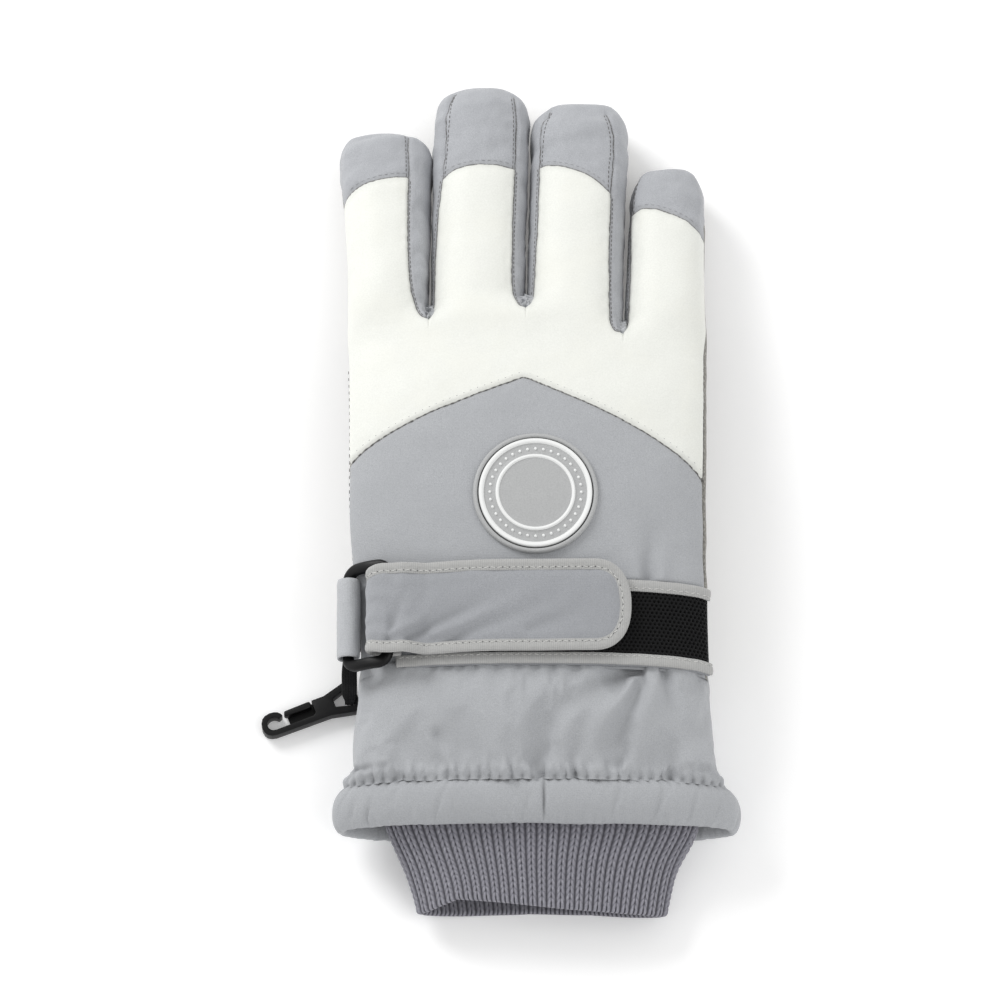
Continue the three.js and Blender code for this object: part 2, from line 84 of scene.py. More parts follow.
def tab(rows, key):
    R = np.array(sorted(rows), float)
    k = np.clip(np.asarray(key, float), R[0, 0], R[-1, 0])
    x, V = R[:, 0], R[:, 1:]
    m = np.zeros_like(V)
    m[1:-1] = (V[2:] - V[:-2]) / (x[2:] - x[:-2])[:, None]
    m[0] = (V[1] - V[0]) / (x[1] - x[0])
    m[-1] = (V[-1] - V[-2]) / (x[-1] - x[-2])
    i = np.clip(np.searchsorted(x, k, side="right") - 1, 0, len(x) - 2)
    h = (x[i + 1] - x[i])[..., None]
    t = (k - x[i])[..., None] / h
    r = (2 * t**3 - 3 * t**2 + 1) * V[i] + (t**3 - 2 * t**2 + t) * h * m[i] + (3 * t**2 - 2 * t**3) * V[i + 1] + (t**3 - t**2) * h * m[i + 1]
    return [r[..., c] for c in range(r.shape[-1])]

# ------------------------------------------------------------------ the glove's own tables (millimetres)
HAND = [[52,-61.0,60.0,37.4,11.0],[46,-61.0,59.9,38.0,12.0],[20,-60.3,59.6,43.0,15.0],[-12,-60.0,59.4,44.0,15.6],[-40,-58.2,59.3,41.4,12.4],[-56,-57.2,59.4,40.2,10.0],[-70,-57.0,60.0,39.2,7.6],[-85,-59.4,62.4,37.6,4.4],[-100,-62.0,65.4,35.4,1.7],[-110,-63.6,67.4,33.0,0.9]]
HEM = [[-107,-63.6,67.4,32.6,0.6],[-111,-64.8,69.6,32.0,0.05],[-116,-65.2,70.3,30.4,0.05],[-121,-64.8,70.0,27.4,0.3]]
KNIT = [[-98,-51.0,57.0,26.5,7.2],[-110,-50.0,57.0,24.6,6.4],[-121,-47.4,55.6,21.8,5.2],[-133,-41.6,49.4,19.4,0.9],[-141,-38.8,46.8,18.2,0.1],[-148,-37.2,45.4,17.2,0.1]]
FING = {"index": dict(l=[-61.0,-62.0,-65.8], r=[-34.4,-34.0,-33.4], tip=131, top=35.0),
        "middle": dict(l=[-33.4,-32.9,-32.2], r=[-1.6,-1.2,0.4], tip=148, top=38.0),
        "ring": dict(l=[-0.6,0.0,1.9], r=[31.2,32.4,34.4], tip=142, top=38.0),
        "pinky": dict(l=[32.3,33.6,35.6], r=[59.9,59.9,60.4], tip=117.5, top=35.0)}
BORDER = {"index": (-61, -33.9), "middle": (-33.9, -1.1), "ring": (-1.1, 31.75), "pinky": (31.75, 59.9)}
CROTCH = {"index": (None, 54.7), "middle": (54.7, 58.3), "ring": (58.3, 49.3), "pinky": (49.3, None)}

def sec(T, y, d=0.0):
    l, r, zt, zb = tab(T, y)
    return (l + r) / 2, (r - l) / 2 - d, (zt + zb) / 2, (zt - zb) / 2 - d

def fsec(name, y, d=0.0):
    f = FING[name]
    y = np.asarray(y, float)
    u = np.clip((y - 46) / (f["tip"] - 46), 0, 1)
    l, r = tab([[0, f["l"][0], f["r"][0]], [.45, f["l"][1], f["r"][1]], [1, f["l"][2], f["r"][2]]], u)
    zt, zb = tab([[0, f["top"], 12], [.25, 34, 6.4], [.5, 30.5, 2.4], [.75, 26.5, .3], [1, 23, .15]], u)
    zt = np.minimum(zt, f["top"])
    t = np.clip((y - (f["tip"] - 15)) / 15, 0, 1)
    k = np.maximum(1 - t**2.5, 0) ** .4
    return (l + r) / 2, ((r - l) / 2 - d) * k, (zt + zb) / 2 - 2 * t * t, ((zt - zb) / 2 - d) * k**.8

def spow(v, p):
    return np.sign(v) * np.abs(v) ** p

def oval(s, deg, n=2.4):
    cx, a, cz, b = s
    r = np.radians(deg)
    return cx + a * spow(np.cos(r), 2 / n), cz + b * spow(np.sin(r), 2 / n)

def ztop(T, x, y, d=0.0, side=1):
    cx, a, cz, b = sec(T, y, -d)
    t = np.clip(np.abs(x - cx) / a, 0, .9995)
    return cz + side * b * (1 - t**2.4) ** (1 / 2.4)

def above(x, y, d):
    """A point above the back of the hand at x, y, raised by d."""
    return np.stack([np.asarray(x, float) + 0 * y, np.asarray(y, float) + 0 * x, ztop(HAND, np.asarray(x, float), np.asarray(y, float), d)], -1)

def normals(P, wrap=True, flip=False):
    if wrap:
        du = np.roll(P, -1, 1) - np.roll(P, 1, 1)
    else:
        du = np.gradient(P, axis=1)
    dv = np.gradient(P, axis=0)
    n = np.cross(du, dv)
    n /= np.maximum(np.linalg.norm(n, axis=-1), 1e-9)[..., None]
    return -n if flip else n

def outward(P, wrap=True):
    """Unit normals of a tube of rows, pointing away from its axis."""
    n = normals(P, wrap)
    c = P.mean(1, keepdims=True)
    return n if ((P - c) * n).sum(-1).mean() > 0 else -n

# ------------------------------------------------------------------ mesh building
class Mesh:
    def __init__(s, name):
        s.name, s.V, s.F, s.M, s.A, s.n = name, [], [], [], {}, 0

    def add(s, V, F, mat=0, **attrs):
        V = np.asarray(V, float).reshape(-1, 3)
        for f in F if isinstance(F, list) else [F]:
            f = np.asarray(f, int)
            if len(f):
                s.F.append(f + s.n)
                s.M.append(np.full(len(f), mat))
        k = len(V)
        for key in set(list(s.A) + list(attrs)):
            if key not in s.A:
                shape = (s.n, 3) if key in ("rest",) else (s.n,)
                s.A[key] = [np.full(shape, -99.0)] if s.n else []
            v = attrs.get(key)
            if v is None:
                v = V if key == "rest" else np.full(k, -99.0)
            v = np.asarray(v, float)
            s.A[key].append(v.reshape(-1, 3) if key == "rest" else np.broadcast_to(v.reshape(-1) if v.ndim else v, (k,)))
        s.V.append(V)
        s.n += k
        return s.n - k

    def grid(s, P, wrap=True, cap0=False, cap1=False, mat=0, flip=False, **attrs):
        n, m = P.shape[:2]
        i, j = np.meshgrid(np.arange(n - 1), np.arange(m if wrap else m - 1), indexing="ij")
        j2 = (j + 1) % m
        q = np.stack([i * m + j, i * m + j2, (i + 1) * m + j2, (i + 1) * m + j], -1).reshape(-1, 4)
        V = P.reshape(-1, 3)
        A = {k: np.asarray(v, float).reshape(-1, 3) if k == "rest" else np.broadcast_to(v, (n, m)).reshape(-1) for k, v in attrs.items()}
        F = [q]
        extra = []
        for cap, row in ((cap0, 0), (cap1, n - 1)):
            if cap:
                c = len(V) + len(extra)
                idx = np.arange(m)
                f = np.stack([row * m + (idx + 1) % m, row * m + idx, np.full(m, c)], -1)
                F.append(f if row == 0 else f[:, ::-1])
                extra.append((row, P[row].mean(0)))
        if extra:
            V = np.vstack([V] + [e[1][None] for e in extra])
            for k in A:
                src = np.asarray(attrs[k], float)
                src = src if k == "rest" else np.broadcast_to(src, (n, m))
                A[k] = np.concatenate([A[k]] + [src[e[0]].mean(0, keepdims=True).reshape((1, 3) if k == "rest" else (1,)) for e in extra])
        if flip:
            F = [f[:, ::-1] for f in F]
        return s.add(V, F, mat, **A)

    def build(s, mats, smooth=True):
        V = np.vstack(s.V)
        me = bpy.data.meshes.new(s.name)
        me.vertices.add(len(V))
        me.vertices.foreach_set("co", W(V).astype(np.float32).ravel())
        loops = np.concatenate([f.ravel() for f in s.F])
        sizes = np.concatenate([np.full(len(f), f.shape[1]) for f in s.F])
        me.loops.add(len(loops))
        me.loops.foreach_set("vertex_index", loops.astype(np.int32))
        me.polygons.add(len(sizes))
        me.polygons.foreach_set("loop_start", np.concatenate([[0], np.cumsum(sizes)[:-1]]).astype(np.int32))
        me.polygons.foreach_set("material_index", np.concatenate(s.M).astype(np.int32))
        me.update(calc_edges=True)
        if "rest" not in s.A:
            s.A["rest"] = [V]
        for k, v in s.A.items():
            v = np.concatenate(v)
            a = me.attributes.new(k, "FLOAT_VECTOR" if k == "rest" else "FLOAT", "POINT")
            a.data.foreach_set("vector" if k == "rest" else "value", v.astype(np.float32).ravel())
        me.validate()
        me.update()
        me.polygons.foreach_set("use_smooth", np.full(len(me.polygons), smooth))
        for m in mats:
            me.materials.append(m)
        o = bpy.data.objects.new(s.name, me)
        bpy.context.scene.collection.objects.link(o)
        return o

def consistent(o):
    """Points every face outward."""
    bm = bmesh.new()
    bm.from_mesh(o.data)
    bmesh.ops.recalc_face_normals(bm, faces=bm.faces)
    bm.to_mesh(o.data)
    bm.free()
    return o

def piece(o, body, nodes=(), blend=None):
    consistent(o)
    if blend:
        a, b, s, e = blend
        tuple(W(s))
        tuple(W(e))
        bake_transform(o)
    else:
        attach(o, body)
    if nodes:
        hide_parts(*nodes)
    return o

def floor_press(P, low=0.06):
    P[..., 2] = np.where(P[..., 2] < low + 0.8, low + 0.8 * np.exp((P[..., 2] - low - 0.8) / 0.8), P[..., 2])
    return P

def capsule(m, a, b, r, mat, up=None, flat=1.0, n=6):
    """A short thread from a to b."""
    a, b = np.asarray(a, float), np.asarray(b, float)
    d = b - a
    L = np.linalg.norm(d)
    d = d / max(L, 1e-9)
    u = np.cross(d, [0, 0, 1.0] if up is None else up)
    u /= max(np.linalg.norm(u), 1e-9)
    w = np.cross(u, d)
    th = np.arange(n) * 2 * np.pi / n
    rows = []
    for t, k in ((0, .35), (.16, .9), (.5, 1.08), (.84, .9), (1, .35)):
        rows.append(a + d * L * t + r * k * (np.cos(th)[:, None] * u + np.sin(th)[:, None] * w * flat))
    m.grid(np.array(rows), True, True, True, mat)

def resample(L, step):
    L = np.asarray(L, float)
    s = np.concatenate([[0], np.cumsum(np.linalg.norm(np.diff(L, axis=0), axis=1))])
    t = np.arange(0, s[-1], step)
    return np.stack([np.interp(t, s, L[:, k]) for k in range(L.shape[1])], -1)

def smooth_line(L, n=12):
    """Catmull-Rom through the points."""
    L = np.asarray(L, float)
    E = np.vstack([2 * L[0] - L[1], L, 2 * L[-1] - L[-2]])
    out = []
    for i in range(1, len(E) - 2):
        t = np.linspace(0, 1, n, endpoint=False)[:, None]
        p0, p1, p2, p3 = E[i - 1], E[i], E[i + 1], E[i + 2]
        out.append(0.5 * (2 * p1 + (p2 - p0) * t + (2 * p0 - 5 * p1 + 4 * p2 - p3) * t**2 + (3 * p1 - p0 - 3 * p2 + p3) * t**3))
    return np.vstack(out + [L[-1:]])

def pdist(P, L):
    L = np.asarray(L, float)
    X, Y = P[..., 0], P[..., 1]
    d = np.full(X.shape, 1e9)
    for a, b in zip(L[:-1], L[1:]):
        ab = b - a
        q = max(ab @ ab, 1e-12)
        t = np.clip(((X - a[0]) * ab[0] + (Y - a[1]) * ab[1]) / q, 0, 1)
        d = np.minimum(d, np.hypot(X - a[0] - t * ab[0], Y - a[1] - t * ab[1]))
    return d

def inside(P, poly):
    X, Y = P[..., 0], P[..., 1]
    r = np.zeros(X.shape, bool)
    for a, b in zip(poly, np.roll(poly, -1, 0)):
        if a[1] != b[1]:
            c = (a[1] > Y) != (b[1] > Y)
            r ^= c & (X < (b[0] - a[0]) * (Y - a[1]) / (b[1] - a[1]) + a[0])
    return r

# ------------------------------------------------------------------ seam lines of the back, seen from above
def chevron(x):
    t = np.abs(x + 1.7) / 57
    return np.where(x < -1.7, 30.8 - 22.5 * t - 4.5 * t**4, 30.8 - 26 * t - 5.5 * t**4)

CHEV = np.array([[x, float(chevron(x))] for x in np.linspace(-64, 64, 65)])
CAPS = {"index": [(-70, 97.5), (-66, 99.6), (-64.4, 101.6), (-61, 104.5), (-57, 106.6), (-52.5, 108.2), (-47.9, 109.3), (-41, 110)],
        "middle": [(-29.6, 109.6), (-27.2, 111.3), (-24, 112.7), (-17.4, 113.9), (-10, 113.8), (-4.6, 113.2)],
        "ring": [(3.6, 114.6), (8.2, 114.3), (16.2, 111.9), (22.6, 108.3), (28.0, 103.7)],
        "pinky": [(35.0, 98.3), (39.1, 98.6), (44, 97.6), (48.2, 96.0), (52.6, 94.0), (56.2, 91.6), (59.6, 88.8), (64, 84)]}
SEAM_R = {"index": [(-34.6, 54.7), (-36.2, 55.5), (-37.6, 57.6), (-38.8, 61.5), (-40.2, 68), (-41.0, 80), (-41.2, 95), (-41, 110)],
          "middle": [(-1.7, 58.3), (-3.2, 58.9), (-4.4, 61.0), (-5.3, 66), (-5.7, 74), (-5.5, 88), (-5.0, 102), (-4.6, 113.2)],
          "ring": [(30.4, 49.3), (29.0, 49.9), (27.9, 51.8), (27.4, 56), (27.2, 66), (27.4, 80), (27.9, 95), (28.0, 103.7)]}
SEAM_L = {"middle": [(-34.6, 54.7), (-33.3, 55.6), (-32.6, 58), (-32.3, 64), (-32.0, 74), (-31.6, 88), (-30.6, 100), (-29.6, 109.6)],
          "ring": [(-1.7, 58.3), (-0.4, 58.8), (0.6, 60.6), (1.2, 64), (2.0, 74), (2.6, 88), (3.2, 102), (3.6, 114.6)],
          "pinky": [(30.4, 49.3), (31.8, 50.0), (32.9, 52.2), (33.7, 57), (34.2, 66), (34.6, 80), (34.9, 90), (35.0, 98.3)]}
TIPS = {"index": {"r": [(-41, 110), (-41.2, 120), (-41.6, 127), (-42.6, 129.6)]},
        "middle": {"l": [(-29.6, 109.6), (-28.8, 120), (-28.2, 130), (-27.4, 138), (-25.6, 144)], "r": [(-4.6, 113.2), (-4.4, 124), (-4.4, 134), (-5.2, 142)]},
        "ring": {"l": [(3.6, 114.6), (4.0, 122), (4.9, 130), (7.4, 137)], "r": [(28.0, 103.7), (28.2, 112), (28.9, 120), (28.6, 127), (26.6, 135)]},
        "pinky": {"l": [(35.0, 98.3), (35.6, 106), (37.6, 113)], "r": []}}
S = lambda L: smooth_line(L, 6)
WHITE = np.vstack([[(-90, float(chevron(np.array(-64.0)))), (-90, 95.5)], S(CAPS["index"]), S(SEAM_R["index"])[::-1], S(SEAM_L["middle"]), S(CAPS["middle"]), S(SEAM_R["middle"])[::-1], S(SEAM_L["ring"]), S(CAPS["ring"]), S(SEAM_R["ring"])[::-1], S(SEAM_L["pinky"]), S(CAPS["pinky"]), [(90, 80), (90, float(chevron(np.array(64.0))))], CHEV[::-1]])

def zones(P, zseam, fing=None):
    """White-panel distance, palm distance, distance to the remaining seams, all in mm."""
    P2 = P[..., :2]
    lines = [WHITE]
    d = pdist(P2, WHITE)
    zw = np.where(inside(P2, WHITE), d, -d)
    zs = np.full(P.shape[:2], 99.0)
    if fing:
        for L in TIPS[fing].values():
            if len(L):
                zs = np.minimum(zs, pdist(P2, S(L)))
    zp = zseam - P[..., 2]
    zs = np.where(zp > 2, 99.0, zs)
    return zw, zp, zs

def skin(P, N, zw, zp, zs):
    """Panel puff, seam grooves and soft wrinkles of the back, as movement along the normal."""
    top = sm(1.5, -1.5, zp)
    d = np.minimum(np.abs(zw), zs)
    puff = 0.55 * (1 - np.exp(-d / 3.2)) - 0.55 * np.exp(-(d / 0.62) ** 2)
    gather = noise(P, 0.42, 5.0) * 0.34 * np.exp(-d / 2.2)
    lip = 0.22 * np.exp(-((zw - 0.9) / 0.7) ** 2)
    pal = -0.5 * np.exp(-(zp / 0.7) ** 2) + 0.45 * (1 - np.exp(-np.abs(zp) / 3))
    body = 0.42 * fbm(P, 1 / 21.0, 3.0, 2) + 0.10 * fbm(P, 1 / 7.0, 9.0, 2)
    return top * (puff + gather + lip) + pal * 0.8 + body

# ------------------------------------------------------------------ materials
class Mat:
    def __init__(s, name, colour, rough, **sockets):
        s.m = bpy.data.materials.new(name)
        s.m.use_nodes = True
        s.t = s.m.node_tree
        s.t.nodes.clear()
        s.out = s.t.nodes.new("ShaderNodeOutputMaterial")
        s.b = s.t.nodes.new("ShaderNodeBsdfPrincipled")
        s.t.links.new(s.b.outputs[0], s.out.inputs[0])
        s.b.inputs["Base Color"].default_value = s.rgb(colour)
        s.b.inputs["Roughness"].default_value = rough
        for k, v in sockets.items():
            s.b.inputs[k.replace("_", " ")].default_value = v

    @staticmethod
    def rgb(c):
        f = lambda v: (v / 255 / 12.92) if v / 255 <= 0.04045 else ((v / 255 + 0.055) / 1.055) ** 2.4
        return (f(c[0]), f(c[1]), f(c[2]), 1)

    def put(s, sock, v):
        if isinstance(v, bpy.types.NodeSocket):
            s.t.links.new(v, sock)
        elif isinstance(v, tuple) and sock.type == "RGBA":
            sock.default_value = s.rgb(v) if len(v) == 3 else v
        else:
            sock.default_value = v

    def node(s, kind, ins=None, out=0, **props):
        n = s.t.nodes.new("ShaderNode" + kind)
        for k, v in props.items():
            setattr(n, k, v)
        for k, v in (ins or {}).items():
            s.put(n.inputs[k], v)
        return n.outputs[out]

    def rest(s, scale=None):
        v = s.node("Attribute", out="Vector", attribute_name="rest")
        if scale:
            v = s.node("VectorMath", {0: v, 1: scale}, operation="MULTIPLY")
        return v

    def objc(s):
        return s.node("VectorMath", {0: s.node("TexCoord", out="Object"), 1: (1000.0, 1000.0, 1000.0)}, operation="MULTIPLY")

    def attr(s, name):
        return s.node("Attribute", out="Fac", attribute_name=name)

    def math(s, op, a, b=0.0, clamp=False):
        return s.node("Math", {0: a, 1: b}, operation=op, use_clamp=clamp)

    def noise(s, v, scale, detail=2.0, rough=0.5):
        return s.node("TexNoise", {"Vector": v, "Scale": scale, "Detail": detail, "Roughness": rough})

    def voro(s, v, scale, feature="F1"):
        return s.node("TexVoronoi", {"Vector": v, "Scale": scale}, feature=feature)

    def step(s, v, a, b, lo=0.0, hi=1.0):
        return s.node("MapRange", {0: v, 1: a, 2: b, 3: lo, 4: hi}, interpolation_type="SMOOTHSTEP")

    def mix(s, f, a, b):
        n = s.t.nodes.new("ShaderNodeMix")
        n.data_type = "RGBA"
        s.put(n.inputs[0], f)
        s.put(n.inputs[6], a)
        s.put(n.inputs[7], b)
        return n.outputs[2]

    def wave(s, v, axis, pitch):
        """0 to 1 sine stripes along one axis, pitch in the vector's units."""
        c = s.node("SeparateXYZ", {0: v}, out=axis)
        return s.math("MULTIPLY_ADD", s.math("SINE", s.math("MULTIPLY", c, 2 * math.pi / pitch)), 0.5) if False else s.math("ADD", s.math("MULTIPLY", s.math("SINE", s.math("MULTIPLY", c, 2 * math.pi / pitch)), 0.5), 0.5)

    def bump(s, h, dist, normal=None, strength=1.0):
        ins = {"Height": h, "Distance": dist, "Strength": strength}
        if normal is not None:
            ins["Normal"] = normal
        return s.node("Bump", ins)

    def done(s, colour=None, rough=None, normal=None):
        if colour is not None:
            s.put(s.b.inputs["Base Color"], colour)
        if rough is not None:
            s.put(s.b.inputs["Roughness"], rough)
        if normal is not None:
            s.put(s.b.inputs["Normal"], normal)
        return s.m

C_WHITE, C_GREY, C_CAP = (235, 236, 230), (173, 175, 178), (174, 176, 180)

def softshell_parts(s, v, base):
    """Plain-woven softshell: fine weave, faint heather, slow shade drift."""
    fine = s.noise(v, 3.4, 3.0, 0.65)
    slow = s.noise(v, 0.045, 2.0)
    dark = tuple(max(c - 13, 0) for c in base)
    light = tuple(min(c + 9, 255) for c in base)
    col = s.mix(s.step(fine, 0.30, 0.70), dark, light)
    col = s.mix(s.math("MULTIPLY", s.step(slow, 0.35, 0.7), 0.35), col, tuple(max(c - 9, 0) for c in base))
    specks = s.step(s.voro(v, 1.15), 0.10, 0.05)
    col = s.mix(s.math("MULTIPLY", specks, 0.22), col, tuple(max(c - 60, 0) for c in base))
    wx, wy = s.wave(v, 0, 0.55), s.wave(v, 1, 0.55)
    weave = s.math("MULTIPLY", s.math("ADD", wx, wy), 0.5)
    h = s.math("ADD", s.math("MULTIPLY", weave, 0.45), s.math("MULTIPLY", fine, 0.75))
    return col, h

def mat_shell(name, grey):
    s = Mat(name, grey, 0.72, Sheen_Weight=0.18, Sheen_Roughness=0.5, Specular_IOR_Level=0.32)
    v = s.rest()
    col_g, h_g = softshell_parts(s, v, grey)
    # coated white panel: fine pebble
    pebble = s.noise(v, 1.9, 4.0, 0.6)
    col_w = s.mix(s.step(pebble, 0.30, 0.72), (228, 229, 223), C_WHITE)
    col_w = s.mix(s.math("MULTIPLY", s.step(s.voro(v, 0.62), 0.085, 0.04), 0.35), col_w, (205, 205, 196))
    col_w = s.mix(s.math("MULTIPLY", s.step(s.noise(v, 0.06, 2.0), 0.42, 0.72), 0.30), col_w, (234, 234, 225))
    # palm grip cloth: coarse, beige-grey
    pv = s.voro(v, 1.05)
    col_p = s.mix(s.step(pv, 0.1, 0.6), (163, 161, 154), (128, 126, 120))
    zw, zp, zs = s.attr("zw"), s.attr("zp"), s.attr("zs")
    w = s.step(zw, -0.07, 0.07)
    p = s.step(zp, -0.08, 0.08)
    col = s.mix(p, s.mix(w, col_g, col_w), col_p)
    # the dark line down inside each seam
    line = s.step(s.math("ABSOLUTE", zw), 0.36, 0.10)
    line = s.math("MAXIMUM", line, s.step(s.math("ABSOLUTE", zs), 0.34, 0.08))
    line = s.math("MULTIPLY", line, s.math("SUBTRACT", 1.0, p))
    pl = s.step(s.math("ABSOLUTE", zp), 0.40, 0.12)
    broken = s.math("MULTIPLY", s.math("MAXIMUM", line, pl), s.step(s.noise(v, 1.3, 1.0), 0.25, 0.6, 0.45, 0.95))
    col = s.mix(broken, col, (92, 90, 88))
    # painted shade in the seam valleys, darkest at each seam and fading over a few millimetres
    near = s.math("MULTIPLY", s.math("MULTIPLY", s.step(s.math("ABSOLUTE", zw), 2.6, 0.2), 0.14), s.math("SUBTRACT", 1.0, p))
    col = s.mix(near, col, (150, 150, 150))
    # wear: the raised middle of each panel is a little smoother
    h = s.math("ADD", s.math("MULTIPLY", h_g, s.math("SUBTRACT", 1.0, w)), s.math("MULTIPLY", pebble, s.math("MULTIPLY", w, 0.55)))
    h = s.math("ADD", h, s.math("MULTIPLY", s.math("MULTIPLY", pv, -2.2), p))
    rough = s.math("SUBTRACT", s.math("ADD", 0.74, s.math("MULTIPLY", p, 0.14)), s.math("MULTIPLY", w, 0.16))
    rough = s.math("ADD", rough, s.math("MULTIPLY", s.math("SUBTRACT", s.noise(v, 0.11, 2.0), 0.5), 0.14))
    return s.done(col, rough, s.bump(h, 0.00012))

def mat_fabric(name, base, rough=0.74):
    s = Mat(name, base, rough, Sheen_Weight=0.18, Sheen_Roughness=0.5, Specular_IOR_Level=0.32)
    v = s.rest()
    col, h = softshell_parts(s, v, base)
    r = s.math("ADD", rough, s.math("MULTIPLY", s.math("SUBTRACT", s.noise(v, 0.11, 2.0), 0.5), 0.14))
    # painted shade: the cloth is darkened by the per-point value that the meshes set in fold valleys and between seam
    # puckers
    g = s.attr("fold")
    col = s.mix(s.step(g, 0.05, 1.0, 0.0, 0.55), col, tuple(int(c * 0.55) for c in base))
    return s.done(col, r, s.bump(h, 0.00012))

def mat_binding():
    s = Mat("Binding", (176, 176, 175), 0.78, Sheen_Weight=0.2, Specular_IOR_Level=0.3)
    v = s.rest()
    ribs = s.math("MULTIPLY", s.math("ADD", s.wave(v, 0, 0.62), s.wave(v, 1, 0.40)), 0.5)
    n = s.noise(v, 2.6, 3.0, 0.6)
    col = s.mix(s.step(ribs, 0.2, 0.9), (168, 168, 167), (190, 190, 188))
    col = s.mix(s.math("MULTIPLY", s.step(n, 0.45, 0.75), 0.4), col, (156, 156, 154))
    return s.done(col, s.math("ADD", 0.72, s.math("MULTIPLY", n, 0.14)), s.bump(s.math("ADD", ribs, n), 0.00012))

def mat_thread(name, c, c2):
    s = Mat(name, c, 0.6, Specular_IOR_Level=0.35)
    v = s.rest()
    n = s.noise(v, 5.0, 2.0)
    tw = s.wave(s.node("VectorMath", {0: v, 1: (1.0, 1.0, 0.5)}, operation="MULTIPLY"), 0, 0.35)
    return s.done(s.mix(s.step(n, 0.3, 0.7), c, c2), s.math("ADD", 0.52, s.math("MULTIPLY", n, 0.2)), s.bump(tw, 0.00006))

def mat_knit():
    s = Mat("Rib_knit", (122, 122, 130), 0.9, Sheen_Weight=0.3, Sheen_Roughness=0.5, Specular_IOR_Level=0.2)
    v = s.rest()
    hgt = s.attr("kh")
    yarn = s.noise(s.rest((3.2, 1.4, 3.2)), 1.0, 3.0, 0.7)
    heather = s.noise(v, 0.9, 2.0, 0.6)
    # painted shade and painted highlight from the stitch height: dark in the pits, light on the raised loops
    col = s.mix(s.step(hgt, 0.05, 0.98), (42, 41, 48), (154, 153, 162))
    col = s.mix(s.math("MULTIPLY", s.step(yarn, 0.45, 0.75), 0.42), col, (96, 95, 106))
    # real light fleck in the yarn, shown only on the raised loops as painted highlight
    col = s.mix(s.math("MULTIPLY", s.step(heather, 0.5, 0.8), s.math("MULTIPLY", s.step(hgt, 0.3, 0.8), 0.45)), col, (193, 193, 200))
    fib = s.noise(s.rest((1.0, 1.0, 1.0)), 7.0, 3.0, 0.7)
    return s.done(col, s.math("ADD", 0.82, s.math("MULTIPLY", fib, 0.14)), s.bump(s.math("ADD", fib, yarn), 0.00014))

def mat_pile():
    s = Mat("Loop_pile", (12, 12, 13), 0.85, Sheen_Weight=0.12, Sheen_Roughness=0.4, Specular_IOR_Level=0.2)
    v = s.rest()
    n = s.noise(v, 3.5, 3.0, 0.7)
    h = s.attr("kh")
    # painted shade and painted highlight from the loop height: darker in the low open cells, lighter on the raised
    # loops
    col = s.mix(s.step(h, 0.05, 0.9), (2, 2, 2), (20, 20, 21))
    col = s.mix(s.math("MULTIPLY", s.step(n, 0.5, 0.8), 0.25), col, (34, 34, 36))
    return s.done(col, s.math("ADD", 0.78, s.math("MULTIPLY", n, 0.16)), s.bump(n, 0.00018))

def mat_web():
    s = Mat("Webbing", (12, 12, 13), 0.7, Sheen_Weight=0.1, Specular_IOR_Level=0.25)
    v = s.rest()
    n = s.noise(v, 4.0, 2.0)
    tw = s.wave(s.node("VectorMath", {0: v, 1: (1.0, 0.6, 0.6)}, operation="MULTIPLY"), 0, 0.55)
    return s.done(s.mix(s.step(s.math("MULTIPLY", tw, n), 0.1, 0.45), (7, 7, 8), (24, 24, 26)), s.math("ADD", 0.6, s.math("MULTIPLY", n, 0.2)), s.bump(tw, 0.00015))

def mat_plastic(name, obj=False):
    s = Mat(name, (10, 10, 11), 0.42, Specular_IOR_Level=0.26)
    v = s.objc() if obj else s.rest()
    n = s.noise(v, 2.8, 3.0, 0.6)
    slow = s.noise(v, 0.12, 2.0)
    scr = s.noise(s.node("VectorMath", {0: v, 1: (0.35, 2.6, 1.0)}, operation="MULTIPLY"), 1.2, 2.0)
    col = s.mix(s.step(slow, 0.3, 0.7), (6, 6, 7), (13, 13, 14))
    col = s.mix(s.math("MULTIPLY", s.step(scr, 0.62, 0.72), 0.18), col, (34, 34, 36))
    r = s.math("ADD", s.math("ADD", 0.33, s.math("MULTIPLY", n, 0.14)), s.math("MULTIPLY", s.step(scr, 0.6, 0.72), 0.10))
    return s.done(col, r, s.bump(n, 0.00004))

def mat_badge():
    s = Mat("Badge_rubber", (176, 177, 177), 0.5, Specular_IOR_Level=0.42, Subsurface_Weight=0.05)
    s.b.inputs["Subsurface Radius"].default_value = (0.002, 0.002, 0.002)
    v = s.rest()
    k = s.attr("ink")
    n = s.noise(v, 2.2, 3.0, 0.6)
    col = s.mix(s.step(n, 0.3, 0.7), (170, 171, 171), (181, 182, 182))
    col = s.mix(s.step(k, 0.4, 0.6), col, (238, 239, 238))
    # painted shade: dark in the groove outside the outer ring; the white rings above are real print
    col = s.mix(s.step(k, -0.4, -0.6), col, (58, 58, 58))
    return s.done(col, s.math("ADD", 0.44, s.math("MULTIPLY", n, 0.16)), s.bump(n, 0.00006))

def mat_fleece():
    s = Mat("Fleece", (196, 196, 198), 0.95, Sheen_Weight=0.5, Sheen_Roughness=0.6, Specular_IOR_Level=0.15)
    v = s.rest()
    n = s.noise(v, 1.1, 4.0, 0.7)
    col = s.mix(s.step(n, 0.3, 0.7), (150, 150, 154), (204, 204, 206))
    return s.done(col, s.math("ADD", 0.86, s.math("MULTIPLY", n, 0.1)), s.bump(n, 0.0007))

